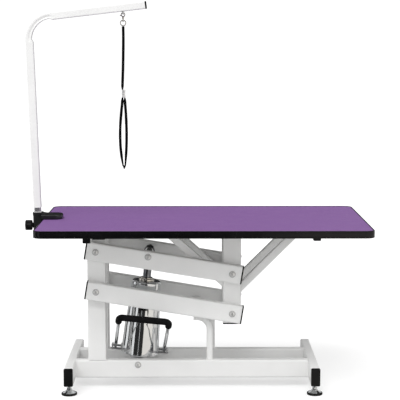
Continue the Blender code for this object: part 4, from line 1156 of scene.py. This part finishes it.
@dataclass
class Carriage:
    """Moving posts with braces, the top frame, and the tabletop with trim and mat."""

    nodes: dict[str, bpy.types.Object]
    corner: float = 0.030
    small_tube: float = 0.025
    slope_left: float = math.radians(42)
    slope_right: float = math.radians(45)

    def build(self) -> None:
        """Dress the tubes, the board and the mat; make the trim, the plugs and the welds."""
        names = [f"{name}_{end}" for name in ("moving_post", "top_rail", "brace_left", "brace_right")
                 for end in ("front", "rear")]
        dress(self.nodes, POWDER_COAT, *names, "cross_tube_left", "cross_tube_right")
        dress(self.nodes, FILM_PLYWOOD, "tabletop_board")
        dress(self.nodes, RIBBED_MAT, "tabletop_mat")
        self.trim()
        self.plugs()
        self.welds()

    def trim(self) -> None:
        """The edge trim: a slightly crowned band with two fine grooves and a rounded lip."""
        low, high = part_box("edge_trim")
        wide, deep = high.x - low.x, high.y - low.y
        tall = high.z - low.z
        profile = (
            (0.0039, 0.0002), (0.0012, 0.0), (0.0004, 0.0003), (0.0001, 0.0010), (0.0, 0.0022),
            (0.0, 0.0036), (0.0005, 0.0041), (0.0, 0.0046), (0.0, 0.0120), (0.0, tall - 0.0062),
            (0.0005, tall - 0.0057), (0.0, tall - 0.0052), (0.0, tall - 0.0024),
            (0.0003, tall - 0.0012), (0.0010, tall - 0.0003), (0.0018, tall),
            (0.0030, tall - 0.0001), (0.0037, tall - 0.0006), (0.0039, tall - 0.0014),
        )
        rings = []
        at = Vector(((low.x + high.x) / 2, (low.y + high.y) / 2, low.z))
        for inset, height in profile:
            outline = rounded_rectangle(
                wide - 2 * inset, deep - 2 * inset, self.corner - inset, 14
            )
            rings.append(level(outline, height))
        shape = Shape().loft(rings, Matrix.Translation(at), loop=True)
        add_piece("tabletop_trim", shape, EXTRUDED_PVC, Body.CARRIAGE, "edge_trim", sharp=50)

    def plugs(self) -> None:
        """Plugs in the moving posts' lower ends and caps on the cross tubes."""
        for end in ("front", "rear"):
            low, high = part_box(f"moving_post_{end}")
            at = Vector(((low.x + high.x) / 2, (low.y + high.y) / 2, low.z))
            shape = Shape()
            EndCaps().add(shape, axes(at, -Z_AXIS, X_AXIS), 0.0296, 0.0596, 0.0045)
            add_piece(f"moving_post_plug_{end}", shape, MOULDED_PLASTIC, Body.CARRIAGE)
        for side in ("left", "right"):
            low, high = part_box(f"cross_tube_{side}")
            for end, toward, at_y in (("front", -1, low.y), ("rear", 1, high.y)):
                at = Vector(((low.x + high.x) / 2, at_y, (low.z + high.z) / 2))
                shape = Shape()
                EndCaps().add(shape, axes(at, Y_AXIS * toward, Z_AXIS), 0.025, 0.025, 0.0034)
                add_piece(f"cross_tube_cap_{side}_{end}", shape, MOULDED_PLASTIC, Body.CARRIAGE)

    def welds(self) -> None:
        """Weld beads where braces, posts and rails meet."""
        shape = Shape()
        for end in ("front", "rear"):
            post_low, post_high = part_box(f"moving_post_{end}")
            near, far = post_low.y + 0.004, post_high.y - 0.004
            for side_x in (post_low.x, post_high.x):
                add_bead(
                    shape, Vector((side_x, near, post_high.z)), Vector((side_x, far, post_high.z))
                )
            for name, face_x in (("brace_left", post_low.x), ("brace_right", post_high.x)):
                low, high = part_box(f"{name}_{end}")
                near_y, far_y = low.y + 0.003, high.y - 0.003
                slope = self.slope_left if name == "brace_left" else self.slope_right
                foot_top = low.z + self.small_tube / math.cos(slope)
                for height in (low.z, foot_top):
                    add_bead(
                        shape, Vector((face_x, near_y, height)), Vector((face_x, far_y, height)),
                        0.0020,
                    )
                outer = low.x if name == "brace_left" else high.x
                width = self.small_tube / math.sin(slope)
                inner = outer + (width if name == "brace_left" else -width)
                for at_x in (outer, inner):
                    add_bead(
                        shape, Vector((at_x, near_y, high.z)), Vector((at_x, far_y, high.z)), 0.0020
                    )
        add_piece("carriage_welds", shape, POWDER_COAT, Body.CARRIAGE, sharp=60)


# ---- Pump and pedal -----------------------------------------------------------------------------
@dataclass
class Pump:
    """Foot pump: chromed bell and crown over the cylinder, gland, ram and pedal brackets."""

    nodes: dict[str, bpy.types.Object]
    rim: float = 0.020
    bell: float = 0.063
    bell_high: float = 0.059
    bell_top: float = 0.1185
    neck: float = 0.056
    neck_bottom: float = 0.1325
    crown: float = 0.049
    top: float = 0.271
    wall: float = 0.0015
    gland: float = 0.026
    ram: float = 0.0135
    ram_eye: float = 0.0186
    ram_eye_hole: float = 0.0152
    ram_eye_wide: float = 0.028
    pedal_forward: float = 0.050
    pedal_high: float = 0.0495
    pedal_half: float = 0.0815
    ear_shift: float = 0.005
    ear_half: float = 0.0145
    ear_above: float = 0.010
    bracket_deep: float = 0.020
    bracket_thick: float = 0.003
    bracket_inner: float = 0.036
    bracket_outer: float = 0.097
    bracket_base: float = 0.0125

    def __post_init__(self) -> None:
        """Place the pump between its two pins."""
        self.foot, self.head = middle("pump_base_pin"), middle("ram_pin")
        self.foot.y = self.head.y = 0.0
        self.matrix = axes(self.foot, self.head - self.foot, Y_AXIS)

    def build(self) -> None:
        """Dress the cylinder; make the cover, the brackets, the gland and the ram."""
        dress(self.nodes, ZINC_PLATE, "pump_cylinder")
        self.cover()
        self.brackets()
        self.gland_piece()
        self.ram_piece()

    def cover(self) -> None:
        """The chromed cover: rolled rim, bell, sloping shoulder and crown."""
        hole = self.gland - 0.004
        low = self.bell - 0.0003
        outer = [
            (low - 0.0030, self.rim + 0.0004), (low - 0.0014, self.rim),
            (low - 0.0002, self.rim + 0.0008), (low, self.rim + 0.0020),
            (low - 0.0002, self.rim + 0.0034), (low - 0.0012, self.rim + 0.0042),
            (low - 0.0012, self.rim + 0.0052), (low - 0.0004, self.rim + 0.0060),
            (low - 0.0003, self.rim + 0.0075), (self.bell_high, self.bell_top - 0.002),
            (self.bell_high - 0.0003, self.bell_top + 0.0010),
            (self.bell_high - 0.0011, self.bell_top + 0.0050),
            (self.neck + 0.0008, self.neck_bottom - 0.0022), (self.neck + 0.0001, self.neck_bottom),
            (self.neck - 0.0002, self.neck_bottom + 0.004),
            (self.crown + 0.0003, self.top - 0.012),
        ]
        outer += arc((self.crown - 0.008, self.top - 0.008), 0.008, 0, 90, 8)
        outer += [(hole + 0.0008, self.top), (hole, self.top - 0.0006)]
        inner = [
            (hole, self.top - self.wall), (self.crown - self.wall - 0.004, self.top - self.wall),
            (self.crown - self.wall, self.top - 0.010), (self.neck - self.wall, self.neck_bottom),
            (self.bell_high - self.wall - 0.001, self.bell_top),
            (self.bell - self.wall - 0.0016, self.rim + 0.001),
        ]
        shape = Shape().lathe([*outer, *inner], self.matrix, 128, loop=True)
        add_piece("pump_bell_and_crown", shape, CHROME_PLATE, Body.PUMP, "pump_cover", sharp=32)

    def brackets(self) -> None:
        """Two folded steel brackets: a base, two rounded ears and a thin ring on each ear's face for
        the pedal pin.
        """
        shape = Shape()
        for sign in (-1, 1):
            middle_x = sign * (self.pedal_half - self.ear_shift)
            ears = [middle_x - self.ear_half, middle_x + self.ear_half]
            for ear_x in ears:
                self.ear(shape, ear_x)
            low_x, high_x = sorted((sign * self.bracket_inner, sign * (self.bracket_outer - 0.0003)))
            base = level(rounded_rectangle(high_x - low_x, self.bracket_deep - 0.0006, 0.003, 4), 0)
            shift = Vector(((low_x + high_x) / 2, -self.pedal_forward, 0))
            bottom = self.pedal_high - self.bracket_base
            shape.loft([
                [shift + point + Z_AXIS * (bottom + up) for point in base]
                for up in (0.0002, self.bracket_thick - 0.0002)
            ], self.matrix)
            for ear_x in ears:
                outward = 1 if ear_x > middle_x else -1
                face = Vector((
                    ear_x + outward * self.bracket_thick / 2, -self.pedal_forward, self.pedal_high
                ))
                ring = self.matrix @ axes(face, X_AXIS * outward, Z_AXIS)
                shape.lathe([(0.0043, 0), (0.0072, 0), (0.0072, 0.0009), (0.0043, 0.0009)], ring, 24)
        add_piece("pedal_brackets", shape, ZINC_PLATE, Body.PUMP, sharp=30)

    def ear(self, shape: Shape, at_x: float) -> None:
        """One ear: a plate with a round top, standing on the bracket's base."""
        half = self.bracket_deep / 2 - 0.0003
        outline = [(-half, -self.bracket_base + 0.0003), (half, -self.bracket_base + 0.0003)]
        outline += arc((0.0, self.ear_above - 0.0003 - half), half, 0, 180, 16)
        thick = self.bracket_thick / 2
        rings = []
        for inset, depth in (
            (0.0005, -thick), (0, 0.0005 - thick), (0, thick - 0.0005), (0.0005, thick),
        ):
            scale = 1 - inset / half
            rings.append([
                Vector((at_x + depth, y * scale - self.pedal_forward, z * scale + self.pedal_high))
                for y, z in outline
            ])
        shape.loft(rings, self.matrix)

    def gland_piece(self) -> None:
        """The gland nut around the ram, with a wiper lip."""
        low = self.top + 0.0003
        shape = Shape().lathe([
            (self.ram + 0.0003, low), (self.gland - 0.0006, low), (self.gland, low + 0.0008),
            (self.gland, low + 0.0045), (self.gland - 0.0008, low + 0.0060),
            (self.gland - 0.0050, low + 0.0068), (self.gland - 0.0058, low + 0.0074),
            (self.gland - 0.0060, low + 0.0092), (self.gland - 0.0068, low + 0.0100),
            (self.ram + 0.0014, low + 0.0100), (self.ram + 0.0003, low + 0.0092),
        ], self.matrix, 72, loop=True)
        add_piece("ram_gland", shape, NICKEL_PLATE, Body.PUMP, "pump_gland")

    def ram_piece(self) -> None:
        """The ram: chromed rod, shouldered collar and a flat-sided eye."""
        length = (self.head - self.foot).length
        shape = Shape().lathe([
            (self.ram - 0.001, 0.034), (self.ram, 0.035), (self.ram, length - 0.060),
            (self.ram - 0.0004, length - 0.0595), (self.ram - 0.0004, length - 0.0560),
            (self.ram, length - 0.0555), (self.ram, length - self.ram_eye + 0.004),
        ], self.matrix, 48)
        turned = axes(self.head, Y_AXIS, Z_AXIS)
        half = self.ram_eye_wide / 2
        shape.lathe([
            (self.ram_eye_hole, -half), (self.ram_eye - 0.0015, -half), (self.ram_eye, -half + 0.0015),
            (self.ram_eye, half - 0.0015), (self.ram_eye - 0.0015, half), (self.ram_eye_hole, half),
        ], turned, 48, loop=True)
        # the ram's dark chrome colour is a painted dark reflection
        add_piece("ram_rod_and_eye", shape, RAM_CHROME_PAINTED_DARK, Body.RAM, "pump_ram")


@dataclass
class Pedal:
    """Bent rod pedal with a foam grip over its front."""

    pump: Pump
    spread: float = 0.163
    rod: float = 0.0055
    reach: float = 0.130
    rise: float = 0.125
    skew: float = 0.008
    bend: float = 0.014
    grip: float = 0.011
    tail: float = 0.016
    pin: float = 0.004
    pin_half: float = 0.01875

    def build(self) -> None:
        """Make the rod and its grip."""
        pivot = Matrix.Translation((0, -self.pump.pedal_forward, self.pump.pedal_high))
        matrix = self.pump.matrix @ pivot
        half = self.spread / 2
        front = Vector((self.skew, -self.reach, self.rise))
        tail = -front.normalized() * self.rod
        corners = [
            X_AXIS * -half + tail, X_AXIS * -half + front, X_AXIS * half + front,
            X_AXIS * half + tail,
        ]
        placed = [matrix @ point for point in corners]
        shape = Shape().sweep(filleted(placed, self.bend, 12), circle(self.rod, 20), Z_AXIS)
        for sign in (-1, 1):
            pin = matrix @ axes(X_AXIS * sign * (half - self.pump.ear_shift), X_AXIS * sign, Z_AXIS)
            tip = self.pin_half
            shape.lathe([
                (self.pin - 0.0006, -tip), (self.pin, 0.0006 - tip), (self.pin, tip - 0.0006),
                (self.pin - 0.0006, tip),
            ], pin, 24)
        add_piece("pedal_rod", shape, CHROME_PLATE, Body.PEDAL, "pedal_frame")
        self.grip_piece(placed)

    def grip_piece(self, placed: Sequence[Vector]) -> None:
        """The foam grip: a closed sleeve with soft ends that follows the rod round both bends."""
        down = (placed[0] - placed[1]).normalized() * (self.bend + self.tail)
        route = even_route(
            filleted([placed[1] + down, placed[1], placed[2], placed[2] + down], self.bend, 12),
            0.002,
        )
        last = len(route) - 1

        def section(index: int) -> Outline:
            """A round sleeve, softly lumpy, that rounds off at both ends."""
            edge = min(index, last - index) * 0.002
            close = math.sqrt(max(0.0, 1 - (1 - min(edge / 0.004, 1)) ** 2))
            radius = self.rod + 0.0004 + (self.grip - self.rod - 0.0004) * (0.25 + 0.75 * close)
            lump = 1 - 0.018 * (0.5 + 0.5 * noise.noise(Vector((index * 0.11, 7.3, 0))))
            return circle(min(radius * lump, self.grip), 28)

        shape = Shape().sweep(route, section, Y_AXIS)
        piece = add_piece("pedal_foam_grip", shape, NITRILE_FOAM, Body.PEDAL, "pedal_grip", sharp=60)


# ---- Clamp and grooming arm ---------------------------------------------------------------------
@dataclass
class GroomingArm:
    """Bent square tube in the clamp's socket, with its cap and the noose's eye."""

    tube: float = 0.025
    corner: float = 0.0034
    lean: float = math.radians(1.82)
    out: float = 0.0190
    socket_top: float = 0.022
    below: float = 0.045
    high: float = 0.6625
    rise: float = math.radians(6.68)
    reach: float = 0.3862
    bend: float = 0.078
    pinch: float = 0.0062
    groove: float = 0.0036
    groove_at: float = 0.25
    groove_wide: float = 0.34
    crease: float = 0.007
    facet: float = 0.0016
    neck: float = 0.82
    neck_tall: float = 0.015
    wall: float = 0.0015
    noose_along: float = 0.3132
    eye_drop: float = 0.0086
    eye_half: float = 0.009
    eye_wire: float = 0.002

    def __post_init__(self) -> None:
        """Work out the arm's corner, its tip and the noose's bar."""
        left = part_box("edge_trim")[0].x
        self.mat_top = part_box("tabletop_mat")[1].z
        self.axis = Vector((-math.sin(self.lean), 0, math.cos(self.lean)))
        self.socket = Vector((left - self.out, 0, self.mat_top + self.socket_top))
        self.overhead = Vector((math.cos(self.rise), 0, math.sin(self.rise)))
        self.elbow = self.on_upright(self.high)
        self.tip = self.elbow + self.overhead * self.reach
        self.bar = (
            self.elbow + self.overhead * self.noose_along
            - Z_AXIS * (self.tube / 2 / math.cos(self.rise) + self.eye_drop)
        )

    def on_upright(self, height: float) -> Vector:
        """The point of the upright's middle line at this height above the mat."""
        return self.socket + self.axis * ((height - self.socket_top) / math.cos(self.lean))

    def build(self) -> None:
        """Make the tube, the cap, the stop collar and the eye."""
        self.tube_piece()
        shape = Shape()
        up = Y_AXIS.cross(-self.overhead)
        EndCaps().add(
            shape, axes(self.tip + self.overhead * 0.0003, self.overhead, up), self.tube, self.tube,
            self.corner,
        )
        add_piece("arm_tip_cap", shape, MOULDED_PLASTIC, Body.ARM, "grooming_arm_cap")
        legs = self.bar + Z_AXIS * (self.eye_drop - 0.0006)
        side = Y_AXIS * self.eye_half
        eye = Shape().sweep(
            filleted([legs - side, self.bar - side, self.bar + side, legs + side], 0.003, 8),
            circle(self.eye_wire, 14), X_AXIS,
        )
        for sign in (-1, 1):
            washer = Matrix.Translation(legs + side * sign)
            eye.lathe([(0.0024, -0.0016), (0.0040, -0.0014), (0.0042, -0.0002), (0.0040, 0.0004)],
                      washer, 20)
        add_piece("arm_eye", eye, CHROME_PLATE, Body.ARM, "noose_eye")

    def tube_piece(self) -> None:
        """The tube, with the pinched inner side and the creased ends that bending leaves."""
        start = self.on_upright(-self.below)
        corners = [start, self.elbow, self.tip]
        turned = filleted(corners, self.bend, 30)
        neck_low = (self.socket - start).length + 0.0003
        neck_high = neck_low + self.neck_tall
        route = even_route([start, start + self.axis * neck_low], 0.006)
        route += [start + self.axis * at for at in (neck_low + 0.0008, neck_high - 0.0008, neck_high)]
        route += [*even_route([start + self.axis * (neck_high + 0.001), turned[1]], 0.006),
                  *turned[2:-2], *even_route(turned[-2:], 0.006)]
        lengths = [0.0]
        for before, after in zip(route, route[1:]):
            lengths.append(lengths[-1] + (after - before).length)
        low, high = (turned[1] - start).length, lengths[-1] - (self.tip - turned[-2]).length
        coarse = rounded_rectangle(self.tube, self.tube, self.corner, 4)
        outline: Outline = []
        for (x0, y0), (x1, y1) in zip(coarse, [*coarse[1:], coarse[0]]):
            count = max(1, round(math.hypot(x1 - x0, y1 - y0) / self.facet))
            outline += [
                (x0 + (x1 - x0) * step / count, y0 + (y1 - y0) * step / count)
                for step in range(count)
            ]

        def section(index: int) -> Outline:
            """The square tube, whose inner side is pressed outwards and its flanks in."""
            along = lengths[index]
            into = min(along - low, high - along) / self.crease
            share = max(0.0, min(1.0, into + 0.5))
            share = share * share * (3 - 2 * share)
            half = self.tube / 2
            if neck_low + 0.0004 < along < neck_high - 0.0004:
                return [(x * self.neck, y * self.neck) for x, y in outline]
            points = []
            for x, y in outline:
                inner = 0.5 - 0.5 * y / half
                dent = self.pinch * share * inner ** 1.2 * (1 - 0.25 * (x / half) ** 2)
                fold = math.exp(-((y / half + self.groove_at) / self.groove_wide) ** 2)
                fold *= min(abs(x) / half, 1.0) ** 4
                points.append((x - math.copysign(self.groove * share * fold, x), y + dent))
            return points

        shape = Shape().sweep(route, section, -X_AXIS)
        add_piece("bent_arm_tube", shape, POWDER_COAT, Body.ARM, "grooming_arm", sharp=40)
        sleeve = Shape().loft([
            level(rounded_rectangle(wide, wide, 0.003, 4), height)
            for wide, height in (
                (self.tube * self.neck - 0.0010, neck_low + 0.0009),
                (self.tube * self.neck + 0.0008, neck_low + 0.0010),
                (self.tube * self.neck + 0.0008, neck_high - 0.0010),
                (self.tube * self.neck - 0.0010, neck_high - 0.0009),
            )
        ], axes(start, self.axis, Y_AXIS))
        add_piece("arm_neck_sleeve", sleeve, ZINC_PLATE, Body.ARM)


@dataclass
class Clamp:
    """Black clamp on the tabletop's end: socket, spine, two jaws, screw and lock knob."""

    arm: GroomingArm
    jaw_wide: float = 0.070
    jaw_thick: float = 0.014
    jaw_corner: float = 0.022
    jaw_reach: float = 0.065
    spine: float = 0.0035
    trim_lip: float = 0.0015
    gap: float = 0.0003
    socket_wall: float = 0.0035
    socket_low: float = 0.044
    lower_drop: float = 0.022
    lower_thick: float = 0.010
    lower_wide: float = 0.040
    knob_drop: float = 0.023
    knob: float = 0.018
    knob_thick: float = 0.0225
    knob_neck: float = 0.0045
    screw: float = 0.004

    def __post_init__(self) -> None:
        """Find the tabletop's end and the clamp's own levels."""
        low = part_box("edge_trim")[0]
        self.end, self.board_low = low.x, low.z
        self.jaw_low = self.arm.mat_top + self.trim_lip + self.gap
        self.spine_left = self.end - self.gap - self.spine
        self.half = self.arm.tube / 2 + self.gap + self.socket_wall

    def build(self) -> None:
        """Make the body, the pads, the jaw screw and the lock knob."""
        shape = Shape()
        self.upper_jaw(shape)
        self.spine_and_lower_jaw(shape)
        self.socket(shape)
        add_piece("clamp_casting", shape, COATED_FORGING, Body.CARRIAGE, "clamp_body", sharp=42)
        self.pads()
        self.jaw_screw()
        self.lock_knob()

    def jaw_ring(self, left: float, margin: float, height: float) -> Ring:
        """The upper jaw's outline at this height, grown by a margin."""
        half = self.jaw_wide / 2 + margin
        corner = max(self.jaw_corner + margin, 0.002)
        outline: Outline = [(left, -half)]
        for centre_y, start in ((corner - half, -90), (half - corner, 0)):
            centre = (self.end + self.jaw_reach - self.jaw_corner, centre_y)
            outline += arc(centre, corner, start, start + 90, 10)
        return level([*outline, (left, half)], height)

    def upper_jaw(self, shape: Shape) -> None:
        """The upper jaw: a thick tongue with a rounded rim and a shallow panel."""
        top = self.jaw_low + self.jaw_thick
        rings = []
        for margin, height in (
            (-0.0014, self.jaw_low), (-0.0004, self.jaw_low + 0.0005), (0.0, self.jaw_low + 0.0016),
            (-0.0002, top - 0.0052), (-0.0008, top - 0.0030), (-0.0020, top - 0.0013),
            (-0.0036, top - 0.0003), (-0.0052, top), (-0.0075, top), (-0.0090, top - 0.0006),
            (-0.0105, top - 0.0010),
        ):
            rings.append(self.jaw_ring(self.spine_left - margin * 0.2, margin, height))
        shape.loft(rings)
        rib = [
            Vector((self.spine_left, 0, top - 0.001)), Vector((self.end + 0.002, 0, top - 0.001)),
            Vector((self.end + 0.030, 0, top - 0.001)),
        ]
        heights = (0.0072, 0.0056, 0.0010)

        def section(index: int) -> Outline:
            """A rib that runs out along the jaw."""
            return rounded_rectangle(0.030 - 0.010 * index, 2 * heights[index], 0.003, 4)

        shape.sweep(rib, section, Z_AXIS)

    def spine_and_lower_jaw(self, shape: Shape) -> None:
        """The spine down the tabletop's end, and the lower jaw with its threaded boss."""
        lower_top = self.board_low - self.lower_drop
        lower_low = lower_top - self.lower_thick
        at_x = self.spine_left + self.spine / 2
        rings = []
        for height in (lower_low + 0.0005, self.jaw_low + 0.004):
            outline = rounded_rectangle(self.spine - 0.0001, self.lower_wide, 0.0025, 4)
            rings.append([Vector((at_x + x, y, height)) for x, y in outline])
        shape.loft(rings)
        reach = self.jaw_reach * 0.75
        centre_x = self.spine_left + (reach + self.spine) / 2
        rings = []
        for inset, height in (
            (0.0016, lower_low), (0.0003, lower_low + 0.0008), (0.0, lower_low + 0.0020),
            (0.0, lower_top - 0.0020), (0.0003, lower_top - 0.0008), (0.0016, lower_top),
        ):
            outline = rounded_rectangle(
                reach + self.spine - 2 * inset, self.lower_wide - 2 * inset, 0.009, 6
            )
            rings.append([Vector((centre_x + x, y, height)) for x, y in outline])
        shape.loft(rings)

    def socket(self, shape: Shape) -> None:
        """The arm's socket: a square collar with a thick lip, a web and the knob's boss."""
        arm = self.arm
        base = arm.on_upright(-self.socket_low)
        tall = (arm.socket - base).length
        matrix = axes(base, arm.axis, Y_AXIS)
        full = 2 * self.half
        hole = arm.tube + 2 * self.gap
        rings = []
        for inset, height in (
            (0.0024, 0.0), (0.0008, 0.0006), (0.0004, 0.0020), (0.0008, tall - 0.0120),
            (0.0004, tall - 0.0100), (0.0, tall - 0.0090), (0.0, tall - 0.0022),
            (0.0006, tall - 0.0007), (0.0018, tall),
        ):
            rings.append(level(rounded_rectangle(full - 2 * inset, full - 2 * inset, 0.0062), height))
        for height in (tall, tall - 0.0006, 0.0):
            spare = 0.0004 if height == tall else 0.0
            rings.append(level(rounded_rectangle(hole + 2 * spare, hole + 2 * spare, 0.0036), height))
        shape.loft(rings, matrix, loop=True)
        start, end = (base + arm.socket) / 2 + X_AXIS * (self.half - 0.002), Vector(
            (self.spine_left + 0.003, 0, (base.z + arm.socket.z) / 2)
        )

        def section(index: int) -> Outline:
            """The web between socket and spine."""
            return rounded_rectangle(full - 0.006, tall - 0.012, 0.004, 4)

        shape.sweep([start, end], section, Z_AXIS)
        face = Vector((arm.on_upright(-self.knob_drop).x - self.half + 0.001, 0,
                       arm.on_upright(-self.knob_drop).z))
        shape.lathe([
            (0.0118, -0.002), (0.0112, 0.0), (0.0106, 0.0010), (0.0080, 0.0013),
        ], axes(face, -X_AXIS, Z_AXIS), 32)

    def pads(self) -> None:
        """The rubber pad under the upper jaw."""
        left = self.end + 0.004 + 2 * self.gap
        mat = self.arm.mat_top
        shape = Shape().loft([
            self.jaw_ring(left, -0.0014, mat - 0.0001), self.jaw_ring(left, -0.0010, mat + 0.0003),
            self.jaw_ring(left, -0.0010, self.jaw_low + 0.0004),
        ])
        add_piece("jaw_pad", shape, PAD_RUBBER, Body.CARRIAGE)

    def jaw_screw(self) -> None:
        """The screw that closes the lower jaw: swivel pad, thread and a ribbed knob."""
        low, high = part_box("jaw_screw")
        at = Matrix.Translation(Vector(((low.x + high.x) / 2, (low.y + high.y) / 2, high.z)))
        below = -(self.lower_drop + self.lower_thick)
        tall, wide = 0.012, 0.013
        shape = Shape().lathe([
            (0.0084, 0.0), (0.0098, -0.0006), (0.0100, -0.0016), (0.0092, -0.0028),
            (0.0056, -0.0034), (0.0050, -0.0052), (0.0038, -0.0060), (0.0036, -0.0070),
        ][::-1], at, 40)
        add_thread(shape, at, self.screw, below - 0.003, -0.005)
        rings = []
        for inset, height in (
            (0.0060, -0.0024), (0.0030, -0.0028), (0.0009, -0.0034), (0.0, -0.0046),
            (0.0, -tall + 0.0012), (0.0008, -tall + 0.0003), (0.0020, -tall), (0.0046, -tall),
            (0.0052, -tall + 0.0006),
        ):
            ribs = 0.0 if inset > 0.004 else 0.0007
            rings.append(level(polar(
                lambda angle: wide - inset - ribs * (0.5 + 0.5 * math.cos(18 * angle)), 144
            ), below + height))
        shape.loft(rings, at)
        add_piece("jaw_screw_and_knob", shape, MOULDED_PLASTIC, Body.JAW_SCREW, "jaw_screw")

    def lock_knob(self) -> None:
        """The six-lobed knob, with a dished face and a stepped neck."""
        drop = self.arm.on_upright(-self.knob_drop)
        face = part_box("lock_knob")[0].x + self.knob_thick + self.knob_neck
        matrix = axes(Vector((face, 0, drop.z)), -X_AXIS, Z_AXIS)
        near, far = self.knob_neck, self.knob_neck + self.knob_thick

        def lobes(inset: float) -> Outline:
            """Six shallow lobes, inset by this much."""
            return polar(
                lambda angle: self.knob - inset - 0.0022 * (0.5 - 0.5 * math.cos(6 * angle)), 120
            )

        shape = Shape().loft([
            level(circle(0.0086, 120), 0.0003), level(circle(0.0090, 120), 0.0014),
            level(circle(0.0088, 120), near - 0.0012), level(circle(0.0098, 120), near - 0.0002),
            level(lobes(0.0034), near), level(lobes(0.0010), near + 0.0007),
            level(lobes(0.0001), near + 0.0022), level(lobes(0.0001), far - 0.0026),
            level(lobes(0.0008), far - 0.0010), level(lobes(0.0024), far - 0.0001),
            level(lobes(0.0042), far), level(circle(0.0096, 120), far - 0.0006),
            level(circle(0.0086, 120), far - 0.0016),
        ], matrix)
        add_piece("star_lock_knob", shape, MOULDED_PLASTIC, Body.LOCK_KNOB, "lock_knob", sharp=40)


def main() -> Sequence[Sequence[float]]:
    """Build the whole table.

    Returns:
        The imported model's box before any piece was added.
    """
    logging.basicConfig(level=logging.INFO, format="%(name)s: %(message)s")
    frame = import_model()
    cad_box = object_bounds()
    nodes = frame["nodes"]
    Studio().build()
    arm = GroomingArm()
    Noose(arm.bar).build()
    Base(nodes).build()
    LiftArms(nodes).build()
    Carriage(nodes).build()
    pump = Pump(nodes)
    pump.build()
    Pedal(pump).build()
    arm.build()
    Clamp(arm).build()
    return cad_box


if __name__ == "__main__":
    packed_box = main()
